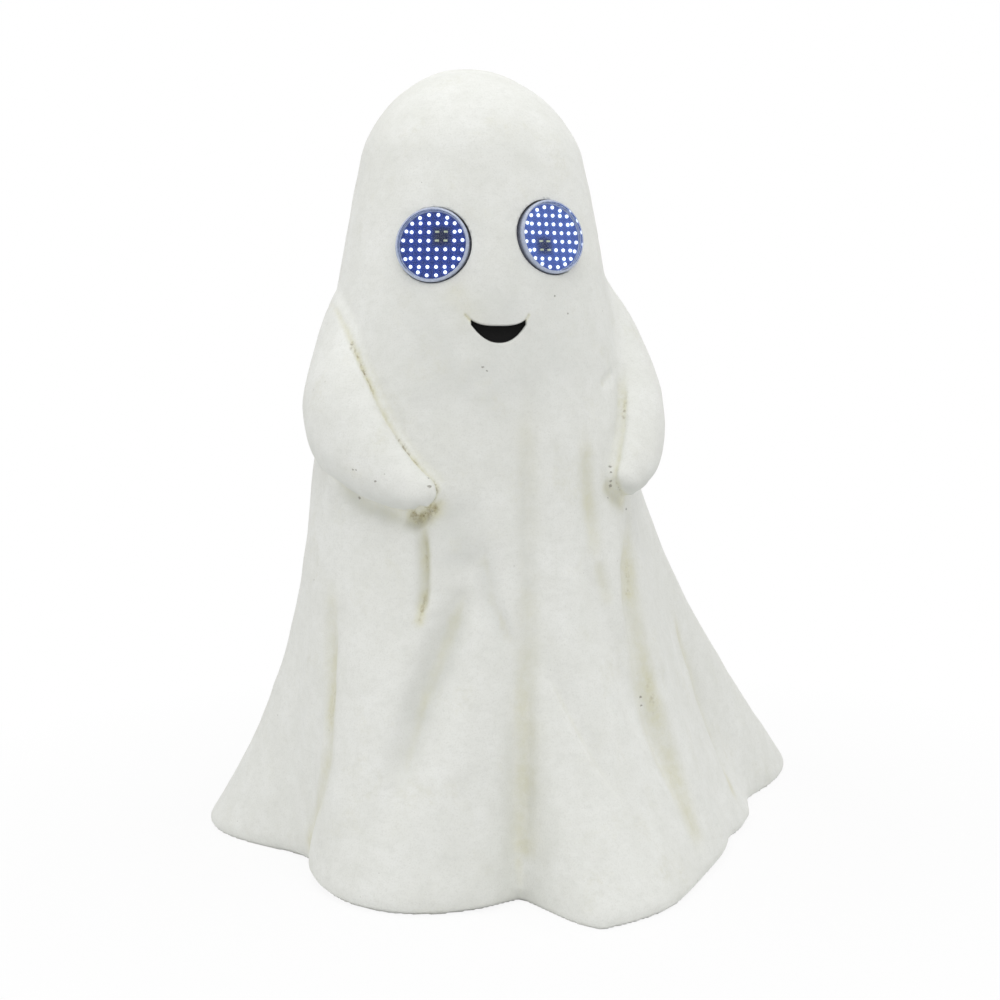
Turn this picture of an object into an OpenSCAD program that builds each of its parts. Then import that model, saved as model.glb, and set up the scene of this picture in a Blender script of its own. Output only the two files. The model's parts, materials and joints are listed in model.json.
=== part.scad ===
// Light-up ghost figure: a hollow cast shell whose robe falls in folds to a flat hem, two
// round light eyes under clear caps, and a base plate that closes the hollow from below and
// carries the battery box, the control board and the slide switch.
// The front faces -Y, left is -X as seen from the front, +Z is up, and the origin lies on
// the ground at the middle of the hem's box.

/* [Figure] */
// Height of the figure
figure_h = 380; // [360:1:410]
// Radius that the dome of the head gives the body
head_r = 43; // [40:0.5:48]
// Height of the dome
dome_h = 44; // [38:1:52]
// How far the robe widens below the dome
flare = 60; // [52:1:68]
// Drop over which it widens
flare_len = 220; // [190:5:260]
// Rounding of the hem
hem_r = 8; // [5:0.5:9]
// Thickness of the cast wall
wall = 8; // [7:0.5:10]
// Extra thickness of the wall at the foot
foot_rim = 6; // [4:0.5:8]
// Width over which an arm blends into the body
arm_blend = 3; // [1:0.5:6]

/* [Face] */
// Turn of the face towards the right
face_turn = 1.2; // [-2:0.1:2]
// Drop from the top of the head to the middle of the left eye
eye_drop = 86; // [80:1:96]
// Height of the right eye above the left one
right_eye_rise = 4; // [0:0.5:5]
// Angle of each eye from the front
eye_angle = 26.5; // [23:0.5:28]
// Turn of each eye towards the other, from facing straight out
eye_toe_in = 4; // [0:0.5:6]
// Upward tilt of the eyes
eye_tilt = 10; // [5:0.5:12]
// Drop from the top of the head to the middle of the mouth
mouth_drop = 127; // [122:1:140]
// Half width of the mouth
mouth_half_w = 12.5; // [10:0.5:14]
// Drop of the upper lip line below the corners
mouth_upper_sag = 2.5; // [2:0.25:4]
// Drop of the lower lip line below the corners
mouth_lower_sag = 10.5; // [8:0.5:13]
// Depth of the mouth
mouth_depth = 3; // [2:0.5:4]

/* [Eyes] */
// Radius of the clear cap
lens_r = 18; // [17.5:0.25:19.5]
// Height of the cap's front above the head
lens_proud = 1.8; // [1:0.1:3]
// Thickness of the cap's front
lens_front = 1.2; // [0.8:0.1:1.6]
// Thickness of the cap's skirt
lens_skirt = 0.9; // [0.7:0.1:1.2]
// Rounding of the cap's front edge
lens_round = 0.8; // [0.4:0.1:0.8]
// Depth of the socket in the head
socket_depth = 7.5; // [7:0.25:8.5]
// Radius of the hole behind the socket
socket_hole_r = 11; // [9:0.5:12]
// Free play round a fitted piece
fit_gap = 0.2; // [0.1:0.05:0.3]
// Wall of the cup that holds a light board
cup_wall = 0.6; // [0.5:0.1:0.8]
// Width of the ledge that a light board sits on
cup_ledge = 1.4; // [1:0.1:2]
// Thickness of the cup's floor
cup_floor = 1.4; // [1:0.1:1.6]
// Radius of the hole in the cup's floor
cup_hole_r = 4.5; // [3.5:0.25:5.5]
// Thickness of a light board
led_board_t = 1.6; // [1:0.1:1.6]
// Distance between neighbouring lights
led_pitch = 4; // [3.8:0.05:4.1]
// Lights along each side of the grid, whose corners are left out
led_side = 6; // [4:2:6]
// Lights in the outer ring
led_ring_count = 20; // [12:2:20]
// Radius of the outer ring
led_ring_r = 14; // [13.8:0.1:14.4]
// Length of a light
led_l = 2; // [1.6:0.1:2]
// Width of a light
led_w = 1.25; // [0.8:0.05:1.3]
// Height of a light
led_h = 0.8; // [0.5:0.05:0.9]
// Gap between the lights and the cap
led_gap = 0.8; // [0.5:0.1:1.2]

/* [Base] */
// Height of the base plate's underside above the ground
plate_z = 6; // [5:0.5:8]
// Thickness of the base plate
plate_t = 5; // [4.5:0.25:6]
// Gap between the base plate and the shell
plate_gap = 0.8; // [0.6:0.1:1.2]
// Radius of a screw post in the shell
post_r = 6; // [5:0.5:7]
// Height of a screw post
post_h = 36; // [24:1:44]
// Distance of a screw post's middle from the wall
post_inset = 8; // [7:0.5:10]
// Radius of a base screw
base_screw_r = 1.75; // [1.5:0.05:2]
// Length of a base screw below its head
base_screw_l = 16; // [12:1:20]
// Radius of a base screw's head
base_head_r = 3.4; // [3:0.1:3.8]
// Height of a base screw's head
base_head_h = 2; // [1.5:0.1:2.4]

/* [Battery box] */
// Radius of a battery
battery_r = 7.25; // [7:0.05:7.4]
// Length of a battery's can
battery_can_l = 49.2; // [48:0.1:50]
// Radius of a battery's button
button_r = 2.7; // [2.4:0.1:3]
// Height of a battery's button
button_h = 1.3; // [1:0.1:1.6]
// Side by side distance of the batteries
battery_pitch = 14.8; // [14.8:0.1:16]
// Compressed length of a battery spring
spring_l = 6; // [5:0.5:8]
// Wire radius of a battery spring
spring_wire_r = 0.4; // [0.3:0.05:0.5]
// Turns of a battery spring
spring_turns = 4; // [3:1:5]
// Thickness of a contact plate
contact_t = 0.5; // [0.4:0.1:0.8]
// Wall of the battery box
box_wall = 1.6; // [1.2:0.1:2]
// Side of a screw tab on the battery box
box_tab = 8; // [7:0.5:9]

/* [Battery door] */
// Thickness of the door
door_t = 1.8; // [1.6:0.1:2]
// Gap round the door
door_gap = 0.4; // [0.3:0.05:0.6]
// Width of the ledge that the door's seal meets
ledge_w = 1.8; // [1.6:0.1:2.4]
// Thickness of the seal
seal_t = 0.5; // [0.4:0.05:0.8]
// Radius of the hinge barrel
barrel_r = 1.6; // [1.4:0.1:1.8]
// Radius of a hinge pin
pin_r = 1.2; // [1:0.05:1.25]
// Play of a hinge pin in its bore
pin_play = 0.06; // [0.04:0.01:0.1]
// Length of a hinge pin
pin_l = 2.2; // [1.6:0.1:3]
// Length of the door's tab past the seal
door_tab = 10; // [9:0.5:12]
// Radius of the door screw
door_screw_r = 1.25; // [1:0.05:1.4]
// Radius of the door screw's head
door_head_r = 2.5; // [2.2:0.1:2.8]
// Height of the door screw's head
door_head_h = 1.5; // [1:0.1:2]
// How far the door screw reaches above the door
door_screw_reach = 2.6; // [2:0.1:3]
// Room round the tip of the door screw
door_screw_room = 0.5; // [0.4:0.05:0.7]

/* [Controls] */
// Width of the control board
board_w = 30; // [28:1:34]
// Length of the control board
board_l = 46; // [42:1:50]
// Thickness of the control board
board_t = 1.6; // [1:0.1:2]
// Distance of the control board's middle from the body's axis
board_x = 51; // [49:0.5:53]
// Height of the board's standoffs
standoff_h = 6; // [4:0.5:8]
// Radius of a standoff
standoff_r = 3; // [2.6:0.1:3.4]
// Distance of a standoff from the board's edges
standoff_inset = 3.5; // [3.5:0.1:4.5]
// Radius of a small screw
small_screw_r = 1; // [0.8:0.05:1.2]
// Radius of a small screw's head
small_head_r = 2; // [1.8:0.1:2.4]
// Height of a small screw's head
small_head_h = 1.2; // [1:0.1:1.6]
// Length of a small screw below its head
small_screw_l = 5; // [4:0.25:5.5]
// Side of a plug socket on a board
header_w = 5; // [4:0.25:6]
// Height of a plug socket on the control board
header_h = 6; // [5:0.25:8]
// Height of a plug socket on a light board
eye_header_h = 3; // [2:0.1:3]
// Distance of the switch from the body's axis
switch_x = 48; // [44:1:52]
// Length of the switch case
switch_l = 14; // [13.5:0.25:16]
// Width of the switch case
switch_w = 7.5; // [7:0.25:9]
// Height of the switch case
switch_h = 6.5; // [6:0.25:8]
// Wall of the switch case
switch_wall = 1.2; // [1:0.1:1.4]
// Travel of the switch knob, from on past off to timer
switch_travel = 4; // [3:0.25:4]
// Side of the knob
knob_side = 3.8; // [3.4:0.1:4]
// Depth of the finger hollow round the knob
hollow_depth = 2.5; // [2:0.1:3]
// Radius of a lead
wire_r = 1.4; // [1:0.1:1.6]

/* [Hidden] */
$fn = 48;

// Robe folds: angle at the hem, angle at the top, height of the top, reach at the hem,
// half width to the left, half width to the right, and how fast the fold grows downwards
folds = [
    [-115, -115, 190, 53, 40, 39, 2.4],
    [-26, -34, 190, 29, 51, 47, 1.6],
    [15, 10, 190, 56, 12, 80, 2.4],
    [91, 78, 180, 38, 54, 18, 1.8],
    [130, 120, 200, 127, 36, 60, 1.7],
    [110, 110, 235, 46, 36, 42, 1],
    [176, 176, 190, 30, 26, 28, 1.6],
    [-152, -152, 190, 34, 28, 26, 1.6]
];

// Creases: angle low down, angle high up, lowest height, highest height, depth, half width.
// A negative depth is a swelling beside a crease
creases = [
    [-28, -2, 30, 165, 4.5, 14],
    [-35, -8, 20, 160, 4, 9],
    [-24, -24, 122, 182, 3.5, 5],
    [-13, -13, 140, 198, 2.5, 12],
    [5, 11, 30, 235, 3.5, 7],
    [-5, -1, -40, 130, -3.5, 10],
    [52, 30, 20, 165, 5, 10],
    [50, 58, 10, 190, 3, 8],
    [36, 35, 135, 215, 3, 6],
    [-74, -57, -60, 140, 4, 11],
    [-55, -59, 10, 140, 3, 6],
    [94, 88, -60, 120, 4, 8]
];

// Arms: angle, drop from the top of the head, distance from the axis, radius
left_arm = [[-88, 94, 46, 13], [-88, 108, 48, 18], [-85, 122, 51, 22], [-78, 140, 54, 26],
            [-71, 155, 59, 27.5], [-60, 168, 64, 26], [-47, 181, 69.5, 20.5], [-35, 191, 74.5, 15.5],
            [-27, 197, 77.5, 11.5]];
right_arm = [[94, 94, 48, 13], [94, 108, 53, 18], [93, 122, 58, 21.5], [90, 137, 64, 22.5],
             [83, 153, 71, 21], [75, 167, 74.5, 19], [66, 180, 77, 16], [59, 189, 78.5, 13.5],
             [53, 194, 79.5, 10.5]];
arm_steps = 36;
arm_reach_angle = 50;

// Grid of the shell's surface
columns = 90;
robe_rows = 31;
hem_rows = [0, 0.1, 0.35];
dome_angles = [0, 14, 28, 42, 56, 68, 79];
inner_rows = [0, 20, 60, 100, 140, 180, 220, 260, 300];
inner_dome_angles = [0, 25, 48, 68];
fold_share_inside = 0.7;
fold_span_inside = 0.8;
rim_fade = 30;

// Screw posts stand in the notches between the folds
post_angles = [-62, 3, 98, -168];
post_rib_w = 8;
post_rib_step = 2;

// Heights of the base's layers
plate_top = plate_z + plate_t;
dome_z = figure_h - dome_h;
eye_z = figure_h - eye_drop;
mouth_z = figure_h - mouth_drop;
board_z = plate_top + standoff_h;
board_top = board_z + board_t;
header_top = board_top + header_h;

// Rising from 0 to 1 and back to 0 as x runs from -1 to 1
function bump(x) = abs(x) >= 1 ? 0 : (1 + cos(180 * x)) / 2;
// The same angle between -180 and 180
function turned(a) = (a + 900) % 360 - 180;
function sum(v) = v * [for (x = v) 1];
function dome(t) = t >= dome_h ? 1 : sqrt(1 - pow(1 - max(t, 0) / dome_h, 2));

// Radius of the plain body at a drop t below the top, for a dome of radius r
function trunk(t, r) = r * dome(t) + flare * (1 - exp(-max(t, 0) / flare_len));

function fold_at(f, a, z, share, span) =
    let (k = min(z / f[2], 1),
         d = turned(a - f[0] - (f[1] - f[0]) * k),
         w = (d < 0 ? f[4] : f[5]) * span)
    f[3] * share * pow(1 - k, f[6]) * bump(d / w);

function crease_at(c, a, z) =
    let (k = (z - c[2]) / (c[3] - c[2]))
    k <= 0 || k >= 1 ? 0
        : c[4] * pow(bump(2 * k - 1), 0.6) * bump(turned(a - c[0] - (c[1] - c[0]) * k) / c[5]);

// Ball of an arm at a share s of its length
function arm_ball(arm, s) =
    let (p = s * (len(arm) - 1), i = min(floor(p), len(arm) - 2))
    arm[i] + (arm[i + 1] - arm[i]) * (p - i);

function ball_reach(b, a, z) =
    let (d = turned(a - b[0]),
         q = b[3] * b[3] - pow(z - figure_h + b[1], 2) - pow(b[2] * sin(d), 2))
    q <= 0 || abs(d) > arm_reach_angle ? 0 : b[2] * cos(d) + sqrt(q);

function arm_at(arm, a, z) =
    abs(turned(a - arm[3][0])) > 90 ? 0
        : max([for (i = [0:arm_steps]) ball_reach(arm_ball(arm, i / arm_steps), a, z)]);

function soft_max(p, q, k) = max(p, q) + pow(max(0, k - abs(p - q)), 2) / (4 * k);

// Loss of radius where the hem is rounded
function hem_cut(z) = z >= hem_r ? 0 : hem_r * (1 - sqrt(1 - pow(1 - z / hem_r, 2)));

function robe_r(a, z) =
    trunk(figure_h - z, head_r) + sum([for (f = folds) fold_at(f, a, z, 1, 1)])
    - sum([for (c = creases) crease_at(c, a, z)]) - hem_cut(z);

function shell_r(a, z) =
    let (robe = robe_r(a, z), arm = max(arm_at(left_arm, a, z), arm_at(right_arm, a, z)))
    arm > 0 ? soft_max(robe, arm, arm_blend) : robe;

// Radius of the hollow
function hollow_r(a, z) =
    let (fade = max(0, min(1, 1 - (z - plate_top) / rim_fade)))
    trunk(figure_h - wall - z, head_r - wall) - foot_rim * fade
    + sum([for (f = folds) fold_at(f, a, z, fold_share_inside, fold_span_inside)]);

function column_angle(i) = i * 360 / columns;
function around(r, a, z) = [r * sin(a), -r * cos(a), z];

// Middle of the hem's box, measured from the body's axis
hem_line = [for (i = [0:columns - 1]) around(robe_r(column_angle(i), hem_r), column_angle(i), 0)];
hem_x = [for (p = hem_line) p[0]];
hem_y = [for (p = hem_line) p[1]];
axis_x = -(min(hem_x) + max(hem_x)) / 2;
axis_y = -(min(hem_y) + max(hem_y)) / 2;

// Eye stack, measured outwards from the head's surface
function eye_height(side) = eye_z + (side > 0 ? right_eye_rise : 0);
function eye_r(side) = trunk(figure_h - eye_height(side), head_r);
function eye_turn(side) = side * eye_angle + face_turn;
function eye_facing(side) = eye_turn(side) - side * eye_toe_in;
led_top = lens_proud - lens_front - led_gap;
led_board_top = led_top - led_h;
led_board_z = led_board_top - led_board_t;
cup_r = lens_r - lens_skirt - fit_gap;
led_board_r = cup_r - cup_wall - fit_gap;
led_half = (led_side - 1) / 2;
pupil_spots = [[0, 0], [1, 0], [0, 1], [1, 1]];
driver_size = [4, 5, 1];
driver_x = 8;

function eye_point(side, out) =
    around(eye_r(side), eye_turn(side), eye_height(side))
    + around(out * cos(eye_tilt), eye_facing(side), out * sin(eye_tilt));

// Battery box and door
battery_l = battery_can_l + button_h;
contact_side = 10;
bay_w = 3 * battery_pitch + 0.2;
bay_l = battery_l + spring_l + 2 * contact_t;
ledge_z = plate_z + door_t + seal_t + 0.1;
battery_z = ledge_z + 0.3 + battery_r;
bay_top = battery_z + battery_r + 0.3;
recess_w = bay_w + 2 * ledge_w;
hinge_z = plate_z + barrel_r;
hinge_room = barrel_r + 1.4;
hinge_y = -36;
bay_y = hinge_y + hinge_room + ledge_w;
bay_mid_y = bay_y + bay_l / 2;
door_screw_y = bay_y + bay_l + ledge_w + door_tab / 2;
door_end_y = bay_y + bay_l + ledge_w + door_tab;
tab_x = recess_w / 2 + pin_l + box_tab / 2;
tab_ys = [bay_y + box_tab, bay_y + bay_l - box_tab];

// Switch
switch_y = 0;
slider_l = switch_l - 2 * switch_wall - switch_travel - 0.4;
slider_w = switch_w - 2 * switch_wall - 0.4;
slider_h = switch_h - 2 * switch_wall - 0.4;
slot_l = knob_side + switch_travel + 0.6;
slot_w = knob_side + 0.6;
finger_room = 4;
hollow_l = slot_l + 2 * finger_room;
hollow_w = slot_w + 2 * finger_room;

// Places on the control board
standoff_xs = [-board_x - board_w / 2 + standoff_inset, -board_x + board_w / 2 - standoff_inset];
standoff_ys = [-board_l / 2 + standoff_inset, board_l / 2 - standoff_inset];
header_x = -board_x + 6;
header_ys = [-12, -4, 4, 12];
chip_size = [6, 10, 1.6];
capacitor_r = 4;
capacitor_h = 9;
capacitor_y = 9;

// Routes of the leads, from the piece that each one leaves to its plug socket.
// Each lead runs straight out of the piece and straight into its plug.
eye_exit = led_board_z - eye_header_h;
eye_run = 12;
eye_lead_drop = 35;
plug_run = 8;
switch_run = 12;
battery_run = 3;
battery_exit = [-bay_w / 2 - box_wall, 18, 18];
switch_exit = [switch_x, switch_y, plate_top + switch_h];
function plug_end(i) = [[header_x, header_ys[i], header_top + plug_run],
                        [header_x, header_ys[i], header_top]];
left_route = concat([eye_point(-1, eye_exit), eye_point(-1, eye_exit - eye_run),
                     [-22, -36, eye_z - eye_lead_drop], [-30, -42, 190], [-38, -46, 120],
                     [-46, -40, 74], [-48, -22, 46]],
                    plug_end(0));
right_route = concat([eye_point(1, eye_exit), eye_point(1, eye_exit - eye_run),
                      [22, -36, eye_z - eye_lead_drop], [30, -42, 190], [30, -48, 120],
                      [8, -50, 74], [-22, -36, 52], [-40, -12, 44]],
                     plug_end(1));
switch_route = concat([switch_exit, switch_exit + [0, 0, switch_run],
                       [32, 3, 37], [0, 6, 39], [-28, 5, 39]],
                      plug_end(2));
battery_route = concat([battery_exit, battery_exit - [battery_run, 0, 0],
                        [-34, 18, 26], [-40, 15, 36]],
                       plug_end(3));
route_steps = 5;

module on_axis() {
    translate([axis_x, axis_y, 0])
        children();
}

// Places a piece on an eye's own axis, which points out of the head
module at_eye(side) {
    translate(eye_point(side, 0))
        rotate([90 - eye_tilt, 0, eye_facing(side)])
        children();
}

module both_eyes() {
    at_eye(-1) children();
    at_eye(1) children();
}

// The light boards are one piece, fitted the other way up in the right eye
module light_board_turn(side) {
    rotate([0, 0, side < 0 ? 0 : 180])
        children();
}

module ring_band(outer_r, inner_r, h) {
    difference() {
        cylinder(r = outer_r, h = h);
        translate([0, 0, -1])
            cylinder(r = inner_r, h = h + 2);
    }
}

module screw(r, l, head_r, head_h) {
    cylinder(r = r, h = l);
    translate([0, 0, -head_h])
        cylinder(r = head_r, h = head_h);
}

module centred_box(size) {
    translate([-size[0] / 2, -size[1] / 2, 0])
        cube(size);
}

// Point at a share t between the second and third of four points on a smooth curve
function spline(a, b, c, d, t) =
    (2 * b + (c - a) * t + (2 * a - 5 * b + 4 * c - d) * t * t
     + (3 * b - a - 3 * c + d) * t * t * t) / 2;

// Curve through the points of a route, with a straight run at each end
function smooth_route(p, steps) =
    let (n = len(p) - 1)
    concat([p[0]],
           [for (i = [1:n - 2], j = [0:steps - 1])
                spline(p[i - 1], p[i], p[i + 1], p[i + 2], j / steps)],
           [p[n - 1], p[n]]);

function unit(v) = v / norm(v);

// Round tube of a given radius along a list of points
module tube(points, r, sides, across) {
    n = len(points) - 1;
    rings = [
        for (i = [0:n])
            let (d = unit(points[min(i + 1, n)] - points[max(i - 1, 0)]),
                 u = unit(cross(d, across)),
                 v = cross(d, u))
            for (k = [0:sides - 1])
                points[i] + r * cos(360 * k / sides) * u + r * sin(360 * k / sides) * v
    ];
    walls = [
        for (i = [0:n - 1], k = [0:sides - 1])
            let (a = i * sides + k, b = i * sides + (k + 1) % sides)
            each [[a, b + sides, b], [a, a + sides, b + sides]]
    ];
    start_cap = [for (k = [1:sides - 2]) [0, k, k + 1]];
    end_cap = [for (k = [1:sides - 2]) [n * sides, n * sides + k + 1, n * sides + k]];
    polyhedron(points = rings, faces = concat(walls, start_cap, end_cap));
}

// Hollow casting of the figure, without its sockets and posts
module casting() {
    outer_zs = concat([for (k = hem_rows) k * hem_r],
                      [for (i = [0:robe_rows - 1]) hem_r + (dome_z - hem_r) * i / robe_rows],
                      [for (a = dome_angles) dome_z + dome_h * sin(a)]);
    inner_dome_z = dome_z - wall;
    inner_zs = concat([0, plate_top], [for (z = inner_rows) if (z > plate_top && z < inner_dome_z) z],
                      [for (a = inner_dome_angles) inner_dome_z + dome_h * sin(a)]);
    n = columns;
    outer_top = len(outer_zs) - 1;
    inner_top = len(inner_zs) - 1;
    inner_start = len(outer_zs) * n;
    apex = inner_start + len(inner_zs) * n;
    points = concat(
        [for (z = outer_zs, i = [0:n - 1]) around(shell_r(column_angle(i), z), column_angle(i), z)],
        [for (z = inner_zs, i = [0:n - 1]) around(hollow_r(column_angle(i), z), column_angle(i), z)],
        [[0, 0, figure_h], [0, 0, figure_h - wall]]);
    faces = [
        for (i = [0:n - 1])
            let (j = (i + 1) % n)
            each concat(
                [for (k = [0:outer_top - 1], m = [0, 1])
                    let (a = k * n + i, b = k * n + j)
                    m == 0 ? [a, b + n, b] : [a, a + n, b + n]],
                [for (k = [0:inner_top - 1], m = [0, 1])
                    let (a = inner_start + k * n + i, b = inner_start + k * n + j)
                    m == 0 ? [a, b, b + n] : [a, b + n, a + n]],
                [[i, j, inner_start + j], [i, inner_start + j, inner_start + i],
                 [outer_top * n + i, apex, outer_top * n + j],
                 [inner_start + inner_top * n + i, inner_start + inner_top * n + j, apex + 1]])
    ];
    polyhedron(points = points, faces = faces);
}

function post_spot(a) = around(hollow_r(a, plate_top) - post_inset, a, 0);

// Screw post with a rib that ties it to the wall
module screw_post(a) {
    translate(post_spot(a) + [0, 0, plate_top])
        cylinder(r = post_r, h = post_h);
    rotate([0, 0, a])
        translate([-post_rib_w / 2, -hollow_r(a, plate_top) - wall / 2, plate_top + post_rib_step])
        cube([post_rib_w, post_inset + wall / 2, post_h - 2 * post_rib_step]);
}

// Smile between two sagging lines that meet at the corners
module smile() {
    corner_y = (mouth_upper_sag + mouth_lower_sag) / 2;
    steps = 10;
    xs = [for (i = [-steps:steps]) i / steps];
    upper = [for (x = xs) [x * mouth_half_w, corner_y - mouth_upper_sag * (1 - x * x)]];
    lower = [for (i = [1:2 * steps - 1])
                let (x = xs[2 * steps - i])
                [x * mouth_half_w, corner_y - mouth_lower_sag * (1 - x * x)]];
    polygon(concat(upper, lower));
}

module body_shell() {
    mouth_r = trunk(mouth_drop, head_r);
    color("whitesmoke")
        on_axis()
        difference() {
            union() {
                casting();
                for (a = post_angles)
                    screw_post(a);
            }
            both_eyes() {
                translate([0, 0, -socket_depth])
                    cylinder(r = lens_r + fit_gap, h = 2 * socket_depth);
            }
            both_eyes() {
                translate([0, 0, -3 * socket_depth])
                    cylinder(r = socket_hole_r, h = 3 * socket_depth);
            }
            rotate([0, 0, face_turn])
                translate([0, mouth_depth - mouth_r, mouth_z])
                rotate([90, 0, 0])
                linear_extrude(4 * mouth_depth)
                smile();
            for (a = post_angles)
                translate(post_spot(a) + [0, 0, plate_top - 1])
                    cylinder(r = base_screw_r, h = base_screw_l);
        }
}

// Clear cap with a rounded front edge and a skirt that stands in the socket
module eye_lens(side) {
    color("lightsteelblue", 0.5)
        on_axis()
        at_eye(side)
        rotate_extrude()
        polygon(concat(
            [[0, lens_proud - lens_front], [0, lens_proud]],
            [for (a = [90:-15:0])
                [lens_r - lens_round * (1 - cos(a)), lens_proud - lens_round * (1 - sin(a))]],
            [[lens_r, -socket_depth], [lens_r - lens_skirt, -socket_depth],
             [lens_r - lens_skirt, lens_proud - lens_front]]));
}

// Cup that stands in the cap's skirt and carries the light board on its ledge
module eye_cup(side) {
    inner_r = cup_r - cup_wall;
    color("dimgray")
        on_axis()
        at_eye(side)
        difference() {
            translate([0, 0, -socket_depth])
                cylinder(r = cup_r, h = socket_depth + led_board_top);
            translate([0, 0, led_board_z])
                cylinder(r = inner_r, h = 2 * led_board_t);
            translate([0, 0, cup_floor - socket_depth])
                cylinder(r = inner_r - cup_ledge, h = socket_depth);
            translate([0, 0, -socket_depth - 1])
                cylinder(r = cup_hole_r, h = cup_floor + 2);
        }
}

module led_board(side) {
    color("black")
        on_axis()
        at_eye(side)
        translate([0, 0, led_board_z])
        cylinder(r = led_board_r, h = led_board_t);
}

module led() {
    translate([0, 0, led_board_top])
        centred_box([led_l, led_w, led_h]);
}

function is_corner(i, j) = (i == 0 || i == led_side - 1) && (j == 0 || j == led_side - 1);
function is_pupil(i, j) = i >= led_half + 0.5 && i <= led_half + 1.5
    && j >= led_half + 0.5 && j <= led_half + 1.5;

// Lit lights: a square grid without its corners and its pupil, inside a ring
module leds(side) {
    color("aliceblue")
        on_axis()
        at_eye(side)
        light_board_turn(side) {
            for (i = [0:led_side - 1], j = [0:led_side - 1])
                if (!is_corner(i, j) && !is_pupil(i, j))
                    translate([(i - led_half) * led_pitch, (j - led_half) * led_pitch, 0])
                        led();
            for (k = [0:led_ring_count - 1])
                rotate([0, 0, 360 * (k + 0.5) / led_ring_count])
                    translate([0, led_ring_r, 0])
                    led();
        }
}

// Unlit lights that make the pupils
module pupil_leds() {
    color("khaki")
        on_axis()
        for (side = [-1, 1])
            at_eye(side)
                light_board_turn(side)
                for (s = pupil_spots)
                    translate([(s[0] + 0.5) * led_pitch, (s[1] + 0.5) * led_pitch, 0])
                        led();
}

module driver_chips() {
    color("darkslategray")
        on_axis()
        both_eyes()
        translate([driver_x, 0, led_board_z - driver_size[2]])
        centred_box(driver_size);
}

module eye_plug_sockets() {
    color("ivory")
        on_axis()
        both_eyes()
        translate([0, 0, eye_exit])
        centred_box([header_w, header_w, eye_header_h]);
}

module lead(route, across, paint) {
    color(paint)
        on_axis()
        tube(smooth_route(route, route_steps), wire_r, 8, across);
}

module eye_lead_left() {
    lead(left_route, [1, -1, 0.3], "dimgray");
}

module eye_lead_right() {
    lead(right_route, [1, 1, 0.3], "dimgray");
}

module battery_lead() {
    lead(battery_route, [0.2, 1, 0], "firebrick");
}

module switch_lead() {
    lead(switch_route, [0.1, 1, 0], "dimgray");
}

module plate_outline() {
    polygon([for (i = [0:columns - 1])
                let (a = column_angle(i), r = hollow_r(a, plate_top) - plate_gap)
                [r * sin(a), -r * cos(a)]]);
}

module box_between(low, high) {
    translate(low)
        cube(high - low);
}

// Plate that closes the hollow, with the door's recess, the switch's slot and the standoffs
module base_plate() {
    color("gray")
        on_axis()
        difference() {
            union() {
                translate([0, 0, plate_z])
                    linear_extrude(plate_t)
                    plate_outline();
                for (x = standoff_xs, y = standoff_ys)
                    translate([x, y, plate_top])
                        cylinder(r = standoff_r, h = standoff_h);
            }
            for (x = standoff_xs, y = standoff_ys)
                translate([x, y, board_z - small_screw_l])
                    cylinder(r = small_screw_r, h = small_screw_l + 1);
            for (a = post_angles)
                translate(post_spot(a)) {
                    translate([0, 0, plate_z - 1])
                        cylinder(r = base_screw_r + fit_gap, h = plate_t + 2);
                    translate([0, 0, plate_z - 1])
                        cylinder(r = base_head_r + fit_gap, h = base_head_h + 1);
                }
            box_between([-recess_w / 2, hinge_y - hinge_room, plate_z - 1],
                        [recess_w / 2, door_end_y, ledge_z]);
            box_between([-recess_w / 2, hinge_y - hinge_room, plate_z - 1],
                        [recess_w / 2, hinge_y + hinge_room, hinge_z + barrel_r + door_gap]);
            box_between([-bay_w / 2, bay_y, plate_z], [bay_w / 2, bay_y + bay_l, plate_top + 1]);
            translate([-recess_w / 2 - pin_l, hinge_y, hinge_z])
                rotate([0, 90, 0])
                cylinder(r = pin_r + pin_play, h = recess_w + 2 * pin_l);
            translate([0, door_screw_y, plate_z])
                cylinder(r = door_screw_r + door_screw_room, h = door_t + door_screw_reach + 0.4);
            for (x = [-tab_x, tab_x], y = tab_ys)
                translate([x, y, plate_top + box_wall - small_screw_l])
                    cylinder(r = small_screw_r, h = small_screw_l);
            translate([switch_x, switch_y, plate_z - 1]) {
                centred_box([slot_w, slot_l, plate_t + 2]);
                centred_box([hollow_w, hollow_l, hollow_depth + 1]);
            }
        }
}

module base_screws() {
    color("silver")
        on_axis()
        for (a = post_angles)
            translate(post_spot(a) + [0, 0, plate_z + base_head_h])
                screw(base_screw_r, base_screw_l - 3, base_head_r, base_head_h);
}

// Tub over the batteries, open below, with four screw tabs
module battery_box() {
    half_w = bay_w / 2 + box_wall;
    color("gainsboro")
        on_axis()
        difference() {
            union() {
                box_between([-half_w, bay_y - box_wall, plate_top],
                            [half_w, bay_y + bay_l + box_wall, bay_top + box_wall]);
                for (y = tab_ys)
                    box_between([-tab_x - box_tab / 2, y - box_tab / 2, plate_top],
                                [tab_x + box_tab / 2, y + box_tab / 2, plate_top + box_wall]);
            }
            box_between([-bay_w / 2, bay_y, plate_top - 1], [bay_w / 2, bay_y + bay_l, bay_top]);
            for (x = [-tab_x, tab_x], y = tab_ys)
                translate([x, y, plate_top - 1])
                    cylinder(r = small_screw_r + fit_gap, h = box_wall + 2);
        }
}

module battery_box_screws() {
    color("silver")
        on_axis()
        for (x = [-tab_x, tab_x], y = tab_ys)
            translate([x, y, plate_top + box_wall])
                mirror([0, 0, 1])
                screw(small_screw_r, small_screw_l - 0.5, small_head_r, small_head_h);
}

function battery_spot(i) = [(i - 1) * battery_pitch, bay_mid_y, battery_z];

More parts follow.
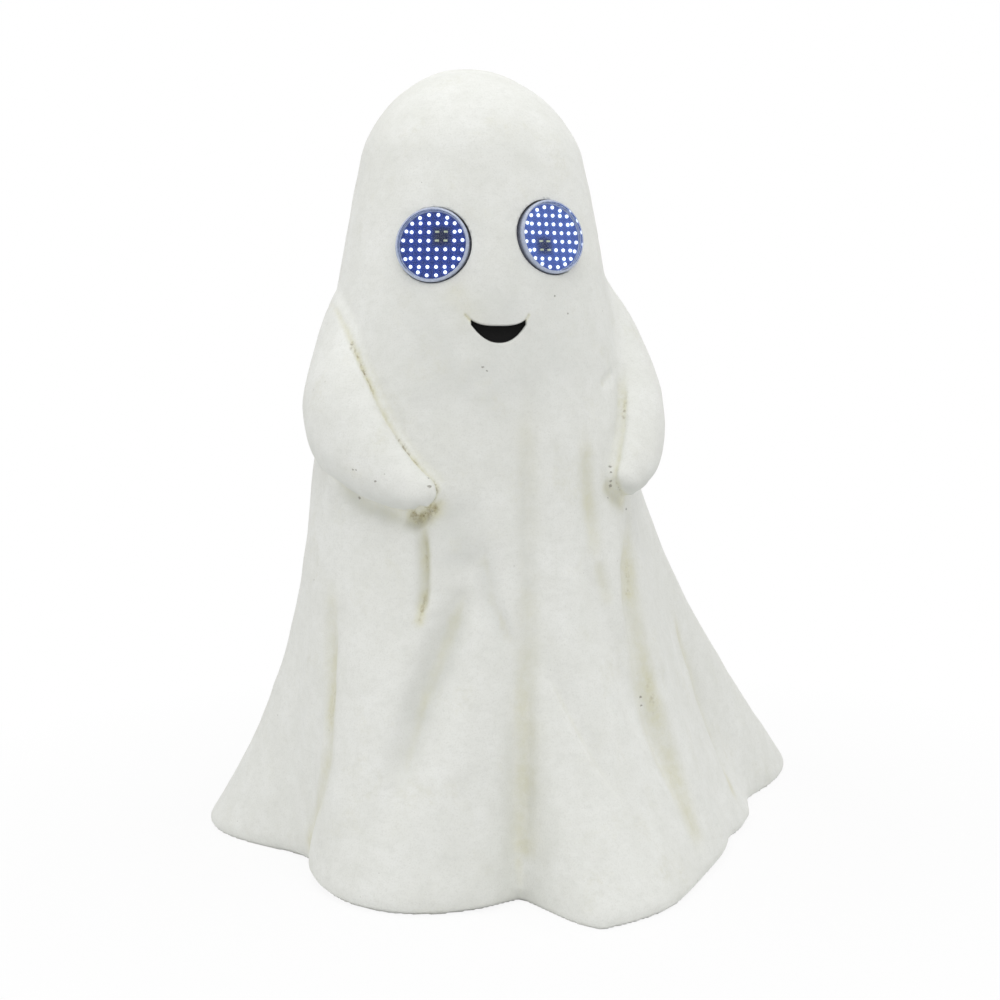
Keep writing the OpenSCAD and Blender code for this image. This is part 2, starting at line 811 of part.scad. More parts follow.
// Places a piece on a battery's axis, which points to its button, from the middle of the bay
module at_battery(i) {
    translate(battery_spot(i))
        rotate([i % 2 == 0 ? -90 : 90, 0, 0])
        children();
}

module batteries() {
    color("darkseagreen")
        on_axis()
        for (i = [0:2])
            at_battery(i)
                translate([0, 0, bay_l / 2 - contact_t - battery_l]) {
                    cylinder(r = battery_r, h = battery_can_l);
                    cylinder(r = button_r, h = battery_l);
                }
}

// Conical coil between the contact plate and the flat end of each battery
module battery_springs() {
    sides = 6;
    rings = 8 * spring_turns;
    wide_r = 5;
    slim_r = 3;
    rise = spring_l - 2 * spring_wire_r - 0.2;
    coil = [for (i = [0:rings])
                let (s = i / rings, r = wide_r + (slim_r - wide_r) * s, a = 360 * spring_turns * s)
                [r * cos(a), r * sin(a), rise * s]];
    color("silver")
        on_axis()
        for (i = [0:2])
            at_battery(i)
                translate([0, 0, contact_t - bay_l / 2 + spring_wire_r + 0.1])
                tube(coil, spring_wire_r, sides, [0, 0, 1]);
}

module battery_contacts() {
    plate = [contact_side, contact_side, contact_t];
    color("goldenrod")
        on_axis()
        for (i = [0:2])
            at_battery(i) {
                translate([0, 0, bay_l / 2 - contact_t])
                    centred_box(plate);
                translate([0, 0, -bay_l / 2])
                    centred_box(plate);
            }
}

// Door with a hinge barrel and pins at one end and a screw tab at the other
module battery_door() {
    half_w = recess_w / 2 - door_gap;
    color("gray")
        on_axis()
        difference() {
            union() {
                box_between([-half_w, hinge_y, plate_z],
                            [half_w, door_end_y - door_gap, plate_z + door_t]);
                translate([-half_w, hinge_y, hinge_z])
                    rotate([0, 90, 0])
                    cylinder(r = barrel_r, h = 2 * half_w);
                translate([-recess_w / 2 - pin_l + door_gap, hinge_y, hinge_z])
                    rotate([0, 90, 0])
                    cylinder(r = pin_r, h = recess_w + 2 * (pin_l - door_gap));
            }
            translate([0, door_screw_y, plate_z - 1])
                cylinder(r = door_screw_r + pin_play, h = door_t + 2);
        }
}

// Frame of soft foam that the door presses against the ledge
module door_seal() {
    edge = 0.3;
    color("black")
        on_axis()
        difference() {
            box_between([-recess_w / 2 + door_gap + edge, bay_y - ledge_w + edge, plate_z + door_t],
                        [recess_w / 2 - door_gap - edge, bay_y + bay_l + ledge_w - edge,
                         plate_z + door_t + seal_t]);
            box_between([-bay_w / 2, bay_y, plate_z],
                        [bay_w / 2, bay_y + bay_l, plate_z + door_t + 2 * seal_t]);
        }
}

module door_screw() {
    slot_w = 0.6;
    slot_depth = 0.7;
    color("silver")
        on_axis()
        translate([0, door_screw_y, plate_z])
        difference() {
            screw(door_screw_r, door_t + door_screw_reach, door_head_r, door_head_h);
            translate([0, 0, -door_head_h - 1])
                centred_box([3 * door_head_r, slot_w, slot_depth + 1]);
        }
}

module control_board() {
    color("darkgreen")
        on_axis()
        difference() {
            translate([-board_x, 0, board_z])
                centred_box([board_w, board_l, board_t]);
            for (x = standoff_xs, y = standoff_ys)
                translate([x, y, board_z - 1])
                    cylinder(r = small_screw_r + fit_gap, h = board_t + 2);
        }
}

module board_screws() {
    color("silver")
        on_axis()
        for (x = standoff_xs, y = standoff_ys)
            translate([x, y, board_top])
                mirror([0, 0, 1])
                screw(small_screw_r, small_screw_l, small_head_r, small_head_h);
}

module control_chip() {
    color("darkslategray")
        on_axis()
        translate([-board_x - 4, -4, board_top])
        centred_box(chip_size);
}

module capacitor() {
    color("midnightblue")
        on_axis()
        translate([-board_x - capacitor_r, capacitor_y, board_top])
        cylinder(r = capacitor_r, h = capacitor_h);
}

module board_plug_sockets() {
    color("ivory")
        on_axis()
        for (y = header_ys)
            translate([header_x, y, board_top])
                centred_box([header_w, header_w, header_h]);
}

module switch_case() {
    slider_room = [switch_w - 2 * switch_wall, switch_l - 2 * switch_wall, switch_h - 2 * switch_wall];
    color("silver")
        on_axis()
        translate([switch_x, switch_y, plate_top])
        difference() {
            centred_box([switch_w, switch_l, switch_h]);
            translate([0, 0, switch_wall])
                centred_box(slider_room);
            translate([0, 0, -1])
                centred_box([slot_w, slot_l, switch_wall + 2]);
        }
}

// Knob at its on end: a stem through the plate under a slider in the case
module switch_knob() {
    color("black")
        on_axis()
        translate([switch_x, switch_y + switch_travel / 2, 0]) {
            translate([0, 0, plate_top + switch_wall + 0.1])
                centred_box([slider_w, slider_l, slider_h]);
            translate([0, 0, plate_z + 0.6])
                centred_box([knob_side, knob_side, plate_t + switch_wall]);
        }
}

body_shell();
eye_lens(-1);  // eye_lens_left
eye_lens(1);  // eye_lens_right
eye_cup(-1);  // eye_cup_left
eye_cup(1);  // eye_cup_right
led_board(-1);  // led_board_left
led_board(1);  // led_board_right
leds(-1);  // leds_left
leds(1);  // leds_right
pupil_leds();
driver_chips();
eye_plug_sockets();
eye_lead_left();
eye_lead_right();
base_plate();
base_screws();
battery_box();
battery_box_screws();
batteries();
battery_springs();
battery_contacts();
battery_door();
door_seal();
door_screw();
control_board();
board_screws();
control_chip();
capacitor();
board_plug_sockets();
battery_lead();
switch_case();
switch_knob();
switch_lead();
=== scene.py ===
"""Looks, light and camera of the light-up ghost figure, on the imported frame."""
import json
import math

import bmesh
import bpy
import numpy as np
from mathutils import Matrix, Vector


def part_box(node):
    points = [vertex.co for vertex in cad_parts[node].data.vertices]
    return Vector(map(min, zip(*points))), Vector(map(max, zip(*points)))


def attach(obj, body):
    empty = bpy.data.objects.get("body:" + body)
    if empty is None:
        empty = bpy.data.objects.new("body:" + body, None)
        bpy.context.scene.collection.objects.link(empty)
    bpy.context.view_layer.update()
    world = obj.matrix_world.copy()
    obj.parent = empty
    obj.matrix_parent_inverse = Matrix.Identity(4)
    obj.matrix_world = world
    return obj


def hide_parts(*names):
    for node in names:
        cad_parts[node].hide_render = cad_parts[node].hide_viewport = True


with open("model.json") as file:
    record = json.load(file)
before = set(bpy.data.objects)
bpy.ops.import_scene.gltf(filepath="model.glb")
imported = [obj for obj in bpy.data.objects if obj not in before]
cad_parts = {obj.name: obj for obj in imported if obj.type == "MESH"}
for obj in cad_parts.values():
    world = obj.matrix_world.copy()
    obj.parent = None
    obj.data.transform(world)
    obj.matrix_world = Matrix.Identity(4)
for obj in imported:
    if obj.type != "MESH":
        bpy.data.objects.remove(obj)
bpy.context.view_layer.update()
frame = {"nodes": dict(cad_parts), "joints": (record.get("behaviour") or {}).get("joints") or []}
MM = 0.001
SMALL = 0.01
TURNED_SHARP, MOULDED_SHARP = 40, 35


def joint_place(name):
    """Place of a joint of the frame over the ground, in mm."""
    x, y, _ = next(j["pos_m"] for j in frame["joints"] if j["name"] == name)
    return np.array([x / MM, y / MM, 0.0])


# The body's axis stands behind the battery door's hinge.
HINGE_TO_AXIS = 36.0
AXIS = joint_place("battery_door_hinge") + [0, HINGE_TO_AXIS, 0]

# Sizes in mm, measured from the figure's axis and the ground, and angles in degrees.
FIGURE_H, HEAD_R, DOME_H = 380.0, 43.0, 44.0
FLARE, FLARE_LEN, HEM_R = 60.0, 220.0, 8.0
HEAD_LEAN, LEAN_FROM, LEAN_OVER = 3.0, 320.0, 60.0
WALL, FOOT_RIM, RIM_FADE = 8.0, 6.0, 30.0
PLATE_Z, PLATE_TOP = 6.0, 11.0
POST_ANGLES, POST_INSET, POST_R, POST_H = (-62, 3, 98, -168), 8.0, 6.0, 36.0
POST_BORE_R, POST_BORE_L, POST_GAP, POST_EDGE = 1.5, 13.0, 0.05, 0.5
RIB_W, RIB_SINK, RIB_STEP = 8.0, 2.0, 2.0
# Eyes, where -1 is the left one and 1 the right one. A socket lies a little towards the nose, and the
# side of a cap is pale only near its front, with painted shade behind that.
FACE_TURN, EYE_ANGLE, EYE_TOE_IN, EYE_TILT = 1.2, 26.5, 4.0, 10.0
EYE_Z = {-1: 294.0, 1: 298.0}
SOCKET_SLIP, SOCKET_GAP, SOCKET_DEPTH = {-1: 0.4, 1: 0.5}, 0.06, 7.5
PLUG_HOLE_R, PLUG_HOLE_DEPTH, CUT_REACH = 11.0, 30.0, 20.0
LENS_R, LENS_PROUD, PALE_SIDE = 17.1, 1.8, 2.8
WINDOW_T, WINDOW_GAP, RIM_W, RIM_ROUND = 1.2, 0.03, 1.05, 1.0
BOARD_TOP, BOARD_T, BOARD_R, BOARD_RIM_R, BOARD_RINGS = -1.0, 1.6, 15.9, 15.2, 48
LED_PITCH, LED_RING_R, LED_RING_COUNT = 4.0, 14.0, 20
LED_R, LED_H, BAR_L, BAR_W = 0.82, 0.8, 1.7, 0.8
# Strength of the blue glow painted on each eye's board, and of a paler blue haze painted over it.
EYE_GLOW, EYE_GLOW_HAZE = {-1: 0.9, 1: 1.3}, {-1: 0.0, 1: 0.4}
# Mouth: the rise of its corners, the sag and roundness of its upper and its lower edge.
MOUTH_X, MOUTH_Z, MOUTH_HALF_W, MOUTH_DEPTH = 0.7, 253.0, 12.6, 3.0
CORNER_RISE, CORNER_H, LIP_EDGE = 7.3, 2.2, 0.8
UPPER_SAG, UPPER_ROUND, LOWER_SAG, LOWER_ROUND = 2.7, 3.2, 8.2, 2.2
MOUTH_REACH, MOUTH_AREA_R = 75.0, 26.0
# Skin: the voxels that fuse it, the rounds that smooth it, its flat and its plain foot, and waves of
# (height, length, seed).
SKIN_VOXEL, SKIN_ROUNDS, SHOULDER_ROUNDS, FLAT_FOOT, PLAIN_FOOT = 1.3, 3, 60, 0.7, 4.0
WAVES = [(0.40, 26.0, 3), (0.24, 11.0, 5), (0.09, 5.0, 7)]
# Seams round the arms, which end at the left and the right shoulder.
SEAM_DEPTH, SEAM_FADE, SEAM_TOP_LEFT, SEAM_TOP_RIGHT = 1.2, 25.0, 272.0, 240.0
ARM_PROUD, ARM_LOW, ARM_HIGH = 3.0, 160.0, 300.0
SHOULDER_Z, SHOULDER_RISE, SHOULDER_ANGLE, SHOULDER_TURN = 226.0, 14.0, 25.0, 12.0

# Folds: angle at the hem, angle at the top, height of the top, reach at the hem,
# half width to the left, half width to the right, growth downwards.
FOLDS = [
    (-115, -115, 190, 53, 40, 39, 2.4),
    (-26, -34, 190, 29, 51, 47, 1.6),
    (15, 10, 190, 56, 12, 80, 2.4),
    (91, 78, 180, 38, 54, 18, 1.8),
    (130, 120, 200, 127, 36, 60, 1.7),
    (110, 110, 235, 46, 36, 42, 1.0),
    (176, 176, 190, 30, 26, 28, 1.6),
    (-152, -152, 190, 34, 28, 26, 1.6),
]
# Creases: angle low down, angle high up, lowest height, highest height, depth, half width.
CREASES = [
    (-28, -2, 30, 165, 4.5, 14),
    (52, 30, 20, 165, 5.0, 10),
    (-74, -57, -60, 140, 4.0, 11),
    (94, 88, -60, 120, 4.0, 8),
]
# Arms: angle, drop from the top of the head, distance from the axis, half width, half thickness.
LEFT_ARM = [
    (-88, 94, 47, 12, 11), (-88, 108, 53, 18, 13), (-85, 122, 58, 23, 15), (-78, 140, 64, 27.5, 16),
    (-71, 155, 69.5, 29, 17), (-60, 168, 73, 27, 17), (-47, 181, 76, 20.5, 14.5), (-35, 191.5, 78, 15, 12.5),
    (-26.5, 197.5, 79, 11, 10.5),
]
RIGHT_ARM = [
    (94, 94, 50, 12, 11), (94, 108, 58, 18, 13), (93, 122, 64, 21, 15.5), (90, 137, 70, 22, 16.5),
    (83, 153, 75, 21, 17), (75, 167.5, 78.5, 19.5, 16), (66, 180.5, 80.5, 16.5, 14),
    (58, 189.5, 80.5, 13, 12.5), (53, 194.5, 80, 9.5, 10),
]
# Tool marks: points (angle, height) from top to bottom, depth, half width to the left and to the right,
# the strength and half width of the tan wash, and the strength of the painted grey shade. A depth below 0 is
# a ridge.
GROOVES = [
    # Slit and pocket under the left hand, and the painted shade under that arm.
    ([(-24.8, 170), (-23.7, 156), (-23.0, 140), (-24.3, 126)], 4.2, 3.0, 2.0, 1.05, 2.2, 0.6),
    ([(-30.5, 173.5), (-25.8, 171), (-21.5, 176.5)], 3.8, 4.0, 3.0, 1.6, 4.4, 1.0),
    ([(-63.5, 190), (-57.5, 184), (-50.5, 179), (-44, 175.5), (-36, 173), (-30, 171)],
     1.0, 4.0, 4.0, 0.4, 4.5, 0.95),
    # Middle valley, with a rounded wall on its left.
    ([(12, 226), (10.5, 200), (9.5, 170), (9, 140), (8.2, 118), (6.5, 95), (5.8, 70)],
     2.6, 4.5, 4.5, 0.3, 5.0, 0.4),
    ([(6, 105), (5.6, 73), (5, 46), (4.5, 26)], 2.0, 2.5, 3.0, 0.8, 4.0, 0.2),
    ([(-0.5, 115), (-1.8, 73), (-3, 47), (-4.5, 20), (-5.2, -10)], -3.5, 14.0, 8.0, 0.0, 1.0, 0.0),
    # Hollow beside the slit, which parts into two folds.
    ([(-13, 184), (-13.5, 165), (-12.5, 140)], 2.2, 12.0, 10.0, 0.0, 1.0, 0.55),
    ([(-9, 150), (-12.7, 129), (-15.3, 118), (-19.3, 102), (-22.5, 87), (-25.6, 65), (-28, 38)],
     4.6, 7.5, 5.0, 0.05, 6.0, 0.45),
    ([(-7, 138), (-9, 112), (-13, 80), (-17, 40)], -2.0, 8.0, 10.0, 0.0, 1.0, 0.0),
    ([(-6, 162), (-4.2, 151), (-2.5, 135), (1.7, 120), (4.8, 108)], 2.0, 6.0, 3.5, 0.0, 4.0, 0.35),
    # Left crease.
    ([(-59.5, 134), (-59, 118), (-55.5, 91), (-53, 60), (-56, 39), (-68, 12)], 3.0, 6.0, 6.0, 0.8, 5.5, 0.2),
    # Right of the middle: short band, pocket under the hand, long valley and dent.
    ([(35.5, 206), (35, 192), (34.8, 176), (35.5, 156)], 1.8, 5.0, 5.0, 0.6, 4.5, 0.55),
    ([(36.5, 150), (39, 132)], 0.8, 4.0, 4.0, 0.4, 3.5, 0.2),
    ([(43.5, 186), (48, 179), (54, 174)], 1.5, 4.0, 4.0, 1.1, 4.5, 0.8),
    ([(60, 174), (57, 160), (51, 144), (48.5, 130), (47.5, 115), (47.5, 96), (48, 72), (49, 47), (50.5, 20)],
     2.6, 4.0, 9.0, 0.4, 4.0, 0.2),
    ([(60, 170), (55, 146), (51.5, 124), (51.5, 96), (52, 72), (52.5, 50), (51.5, 22)],
     0.0, 6.0, 6.0, 0.75, 6.5, 0.4),
    ([(11, 108), (15, 94), (18, 81), (21.5, 66), (28, 42)], 1.8, 2.5, 7.0, 0.0, 3.0, 0.0),
    # Upper end of the right forearm.
    ([(47, 228.5), (55, 233), (62, 236)], 1.6, 3.0, 3.0, 0.0, 1.0, 0.2),
    # Side and back.
    ([(96, 110), (97, 79), (95, 45), (88, 20)], 2.4, 3.0, 8.0, 0.6, 4.5, 0.2),
    ([(150, 150), (152, 100), (154, 20)], 2.4, 8.0, 6.0, 0.5, 5.0, 0.2),
    ([(-166, 160), (-165, 90), (-165, 14)], 2.6, 7.0, 9.0, 0.5, 5.0, 0.2),
    ([(-134, 140), (-132, 80), (-130, 14)], 2.4, 6.0, 8.0, 0.5, 5.0, 0.2),
    ([(-176, 210), (178, 160)], 1.2, 6.0, 8.0, 0.1, 4.0, 0.2),
    # Stain between the left eye and the mouth, and painted grey shade over the face and chest.
    ([(-16.5, 277), (-12.5, 269), (-9.5, 262)], 0.2, 5.0, 5.0, 0.3, 7.0, 0.3),
    ([(-4, 290), (0, 250), (6, 205)], 0.0, 48.0, 48.0, 0.0, 1.0, 0.5),
    # Wisps at the corners of the mouth.
    ([(-11.8, 263.2), (-10.2, 261.4), (-9.0, 259.6)], 0.5, 0.9, 0.9, 1.2, 0.8, 1.0),
    ([(14.2, 263.2), (13.4, 261.6), (12.4, 260)], 0.4, 0.8, 0.8, 0.9, 0.7, 0.8),
]
# Nicks in the paint, flatter than wide: angle, height and size.
NICK_FLAT = 1.5
NICKS = [(-46, 192, 0.9), (-44.6, 192.6, 0.7), (-38, 187.5, 0.6), (-50.5, 178, 0.9), (-21.8, 191, 0.6),
         (-20.6, 187, 0.8), (47.2, 193, 0.9), (46.5, 190.5, 0.8), (46.2, 185, 0.7), (46.6, 182, 0.9),
         (46, 178, 0.6), (59, 171, 0.7), (48, 84, 0.7), (47.6, 80, 0.5),
         (-4.0, 240.5, 0.5), (-3.0, 239.0, 0.6), (-32.5, 323.5, 0.5), (32.0, 264.0, 0.4), (26.5, 272.5, 0.4)]


def srgb(r, g, b):
    """Linear colour of an 8-bit sRGB one."""
    return tuple(((c / 255 + 0.055) / 1.055) ** 2.4 if c > 10 else c / 255 / 12.92 for c in (r, g, b))


def turned(a):
    """Angle from -180 to 180."""
    return (a + 180) % 360 - 180


def bump(x):
    """Smooth hump from -1 to 1."""
    return np.where(np.abs(x) < 1, (1 + np.cos(np.pi * np.clip(x, -1, 1))) / 2, 0)


def trunk(t, r):
    """Radius of the plain body at a depth t below its top."""
    t = np.maximum(t, 0)
    dome = np.sqrt(1 - np.clip(1 - t / DOME_H, 0, 1) ** 2)
    return r * dome + FLARE * (1 - np.exp(-t / FLARE_LEN))


def fold_sum(a, z, share=1.0, span=1.0):
    """Reach of the robe's folds."""
    total = 0
    for at_hem, at_top, top, reach, left, right, growth in FOLDS:
        k = np.clip(z / top, 0, 1)
        d = turned(a - at_hem - (at_top - at_hem) * k)
        total = total + reach * share * (1 - k) ** growth * bump(d / (np.where(d < 0, left, right) * span))
    return total


def crease_sum(a, z):
    """Depth of the robe's creases."""
    total = 0
    for low_a, high_a, low, high, depth, width in CREASES:
        k = np.clip((z - low) / (high - low), 0, 1)
        d = turned(a - low_a - (high_a - low_a) * k)
        total = total + depth * bump(2 * k - 1) ** 0.6 * bump(d / width)
    return total


def robe_r(a, z):
    """Radius of the robe's outside."""
    h = np.clip(1 - z / HEM_R, 0, 1)
    return trunk(FIGURE_H - z, HEAD_R) + fold_sum(a, z) - crease_sum(a, z) - HEM_R * (1 - np.sqrt(1 - h * h))


def hollow_r(a, z):
    """Radius of the hollow."""
    fade = np.clip(1 - (z - PLATE_TOP) / RIM_FADE, 0, 1)
    return trunk(FIGURE_H - WALL - z, HEAD_R - WALL) - FOOT_RIM * fade + fold_sum(a, z, share=0.7, span=0.8)


def around(r, a, z):
    """Points at a radius, an angle from the front and a height."""
    t = np.radians(a)
    return np.stack([r * np.sin(t), -r * np.cos(t), z + 0 * r], -1)


def round_axis(p):
    """Angle, radius and height of points."""
    return np.degrees(np.arctan2(p[:, 0], -p[:, 1])), np.hypot(p[:, 0], p[:, 1]), p[:, 2]


def ring_faces(rows, columns):
    """Faces between rings of points, and from the end rings to the two points that follow them."""
    i = np.arange(columns)
    j = (i + 1) % columns
    k = (np.arange(rows - 1) * columns)[:, None]
    faces = np.stack([k + i, k + j, k + columns + j, k + columns + i], -1).reshape(-1, 4).tolist()
    last, centre = (rows - 1) * columns, rows * columns
    pairs = list(zip(i.tolist(), j.tolist()))
    faces += [(m, n, centre) for n, m in pairs]
    return faces + [(last + n, last + m, centre + 1) for n, m in pairs]


def lathe_grid(radius, zs, columns, top):
    """Closed surface of the points at radius(angle, height), with a flat bottom and a point on top."""
    angles = np.arange(columns) * 360 / columns
    a, z = np.meshgrid(angles, zs)
    points = around(radius(a, z), a, z).reshape(-1, 3)
    return np.vstack([points, [[0, 0, zs[0]], [0, 0, top]]]), ring_faces(len(zs), columns)


def spline(keys, count):
    """Smooth curve through the rows of keys."""
    keys = np.array(keys, float)
    padded = np.vstack([2 * keys[0] - keys[1], keys, 2 * keys[-1] - keys[-2]])
    s = np.linspace(0, len(keys) - 1, count)
    i = np.minimum(s.astype(int), len(keys) - 2)
    t = (s - i)[:, None]
    p, q, r, w = padded[i], padded[i + 1], padded[i + 2], padded[i + 3]
    return (2 * q + (r - p) * t + (2 * p - 5 * q + 4 * r - w) * t ** 2 + (3 * q - p - 3 * r + w) * t ** 3) / 2


def tube(centres, widths, depths, sides=40, cap_steps=8):
    """Closed tube with an oval section, flat towards the figure's axis, and round ends."""
    d = np.gradient(centres, axis=0)
    d /= np.linalg.norm(d, axis=1, keepdims=True)
    caps = []
    for end, way in ((0, -1), (-1, 1)):
        cap = []
        for s in range(cap_steps):
            t = math.pi / 2 * (s + 0.5) / cap_steps
            shift = way * widths[end] * math.cos(t)
            width, depth = widths[end] * math.sin(t), depths[end] * math.sin(t)
            cap.append((centres[end] + d[end] * shift, d[end], width, depth))
        caps.append(cap)
    rows = caps[0] + list(zip(centres, d, widths, depths)) + caps[1][::-1]
    turn = np.linspace(0, 2 * math.pi, sides, endpoint=False)
    points = []
    for centre, along, width, depth in rows:
        out = centre * [1, 1, 0]
        out = out - along * out.dot(along)
        out /= np.linalg.norm(out)
        across = np.cross(along, out)
        points.append(centre + np.cos(turn)[:, None] * across * width + np.sin(turn)[:, None] * out * depth)
    return np.vstack(points + [rows[0][0], rows[-1][0]]), ring_faces(len(rows), sides)


def lattice_noise(points, size, seed):
    """Smooth noise from -1 to 1 with features of the given size."""
    p = points / size
    base = np.floor(p).astype(np.int64)
    f = p - base
    f = f * f * (3 - 2 * f)
    total = 0
    for corner in range(8):
        step = np.array([corner & 1, corner >> 1 & 1, corner >> 2])
        c = base + step
        h = (c[:, 0] * 73856093) ^ (c[:, 1] * 19349663) ^ (c[:, 2] * 83492791) ^ (seed * 2654435761)
        h = (h ^ (h >> 13)) * 1274126177
        value = ((h ^ (h >> 16)) & 0xFFFF) / 32767.5 - 1
        total = total + value * np.prod(np.where(step == 1, f, 1 - f), axis=1)
    return total


def line_distance(a, z, r, line):
    """Distance on the surface from each point to a line of (angle, height) points, the share along the
    line, and whether the point lies to its left."""
    best = np.full(a.shape, 1e9)
    share = np.zeros(a.shape)
    left = np.zeros(a.shape, bool)
    count = len(line) - 1
    for n, ((a0, z0), (a1, z1)) in enumerate(zip(line, line[1:])):
        scale = np.radians(1) * r
        px, pz = turned(a - a0) * scale, z - z0
        dx, dz = turned(a1 - a0) * scale, z1 - z0
        t = np.clip((px * dx + pz * dz) / (dx * dx + dz * dz), 0, 1)
        dist = np.hypot(px - t * dx, pz - t * dz)
        nearer = dist < best
        share = np.where(nearer, (n + t) / count, share)
        left = np.where(nearer, px - t * dx < 0, left)
        best = np.minimum(best, dist)
    return best, share, left


def groove_sum(a, z, r):
    """Depth of the tool marks."""
    total = 0
    for line, depth, left_w, right_w, _, _, _ in GROOVES:
        dist, share, left = line_distance(a, z, r, line)
        ends = np.clip(np.minimum(share, 1 - share) * 4, 0, 1)
        ends = ends * ends * (3 - 2 * ends) * 0.85 + 0.15
        total = total + depth * ends * np.exp(-((dist / np.where(left, left_w, right_w)) ** 2))
    return total


def right_shoulder(a, z):
    """1 on the right shoulder, which runs into the robe without a seam."""
    above = np.clip((z - SHOULDER_Z) / SHOULDER_RISE, 0, 1)
    return above * np.clip((a - SHOULDER_ANGLE) / SHOULDER_TURN, 0, 1)


def arm_seam(p, pairs, rounds):
    """1 along the line where an arm meets the robe, falling to 0 beside it and at the shoulder."""
    a, r, z = round_axis(p)
    on_arm = ((r - robe_r(a, z) > ARM_PROUD) & (z > ARM_LOW) & (z < ARM_HIGH)).astype(float)
    share = relaxed(np.repeat(on_arm[:, None], 3, 1), pairs, rounds)[:, 0]
    shoulder = np.where(p[:, 0] < 0, SEAM_TOP_LEFT, SEAM_TOP_RIGHT)
    return 4 * share * (1 - share) * np.clip((shoulder - z) / SEAM_FADE, 0, 1)


def added(name, data):
    """A new object in the scene."""
    piece = bpy.data.objects.new(name, data)
    bpy.context.scene.collection.objects.link(piece)
    return piece


def mesh_object(name, points, faces, smooth=True):
    mesh = bpy.data.meshes.new(name)
    mesh.from_pydata(np.asarray(points).tolist(), [], faces)
    mesh.validate()
    if smooth:
        mesh.shade_smooth()
    return added(name, mesh)


def shade(piece, sharp):
    """Shades a piece smooth, apart from edges that bend by more than an angle."""
    piece.data.shade_smooth()
    piece.data.set_sharp_from_angle(angle=math.radians(sharp))


def baked(piece):
    """Puts a piece's modifiers into its mesh."""
    bpy.context.view_layer.update()
    mesh = bpy.data.meshes.new_from_object(piece.evaluated_get(bpy.context.evaluated_depsgraph_get()))
    mesh.name = piece.name
    piece.modifiers.clear()
    old = piece.data
    piece.data = mesh
    bpy.data.meshes.remove(old)


def cut(piece, tool):
    """Takes the solid of tool away from piece, and removes tool."""
    mod = piece.modifiers.new("cut", "BOOLEAN")
    mod.operation = "DIFFERENCE"
    mod.solver = "MANIFOLD"
    mod.object = tool
    baked(piece)
    mesh = tool.data
    bpy.data.objects.remove(tool)
    bpy.data.meshes.remove(mesh)


def numbers(items, field, width, kind=np.float32):
    """One field of all the items, as the rows of an array."""
    flat = np.empty(len(items) * width, kind)
    items.foreach_get(field, flat)
    return flat.reshape(-1, width)


def coordinates(mesh):
    """Places of a mesh's vertices, in mm from the figure's axis."""
    return numbers(mesh.vertices, "co", 3).astype(float) / MM - AXIS


def put_vertices(mesh, p):
    """Moves a mesh's vertices to places in mm from the figure's axis."""
    mesh.vertices.foreach_set("co", ((p + AXIS) * MM).astype(np.float32).ravel())
    mesh.update()


def normals(mesh):
    return numbers(mesh.vertex_normals, "vector", 3).astype(float)


def edges(mesh):
    return numbers(mesh.edges, "vertices", 2, np.int32)


def relaxed(points, pairs, rounds, weight=0.5):
    """Points moved towards the mean of their neighbours."""
    count = len(points)
    both = np.concatenate([pairs[:, 0], pairs[:, 1]])
    other = np.concatenate([pairs[:, 1], pairs[:, 0]])
    degree = np.maximum(np.bincount(both, minlength=count), 1)
    for _ in range(rounds):
        mean = np.stack([np.bincount(both, points[other, k], count) for k in range(3)], -1) / degree[:, None]
        points = points + weight * (mean - points)
    return points


def attribute(mesh, name, values):
    layer = mesh.attributes.new(name, "FLOAT", "POINT")
    layer.data.foreach_set("value", np.asarray(values, np.float32))


def eye_matrix(side):
    """From an eye's own frame, with Z out of the head and Y up, to the shared frame, in metres."""
    turn = side * EYE_ANGLE + FACE_TURN
    middle = AXIS + around(trunk(FIGURE_H - EYE_Z[side], HEAD_R), turn, EYE_Z[side])
    facing = Matrix.Rotation(math.radians(turn - side * EYE_TOE_IN), 4, "Z")
    return Matrix.Translation(middle * MM) @ facing @ Matrix.Rotation(math.radians(90 - EYE_TILT), 4, "X")


def placed(points, matrix):
    """Points in mm carried by a matrix in metres."""
    m = np.array(matrix)
    return np.asarray(points, float) * MM @ m[:3, :3].T + m[:3, 3]


def lathe(profile, steps=96, closed=False):
    """Solid of a profile of (radius, height) points, turned about Z. Its ends lie on the axis, or its last
    point is joined to its first."""
    points, faces, rows = [], [], []
    turns = [2 * math.pi * i / steps for i in range(steps)]
    for r, z in profile:
        if r < 1e-6:
            rows.append([len(points)])
            points.append((0, 0, z))
        else:
            rows.append(list(range(len(points), len(points) + steps)))
            points += [(r * math.cos(t), r * math.sin(t), z) for t in turns]
    for low, high in zip(rows, rows[1:] + (rows[:1] if closed else [])):
        for i in range(steps):
            j = (i + 1) % steps
            if len(low) == 1:
                faces.append((low[0], high[j], high[i]))
            elif len(high) == 1:
                faces.append((low[i], low[j], high[0]))
            else:
                faces.append((low[i], low[j], high[j], high[i]))
    return np.array(points, float), faces


def box(size, low):
    """Box of a size (x, y, z) about the Z axis, with its bottom at a height."""
    x, y, z = size[0] / 2, size[1] / 2, size[2]
    points = [(sx * x, sy * y, low + h) for h in (0, z) for sx, sy in ((-1, -1), (1, -1), (1, 1), (-1, 1))]
    sides = [(n, (n + 1) % 4, (n + 1) % 4 + 4, n + 4) for n in range(4)]
    return np.array(points), [(3, 2, 1, 0), (4, 5, 6, 7)] + sides


def joined(shapes):
    """Points and faces of several shapes as those of one."""
    points, faces = [], []
    for p, f in shapes:
        base = len(points)
        points += np.asarray(p).tolist()
        faces += [tuple(n + base for n in face) for face in f]
    return np.array(points), faces


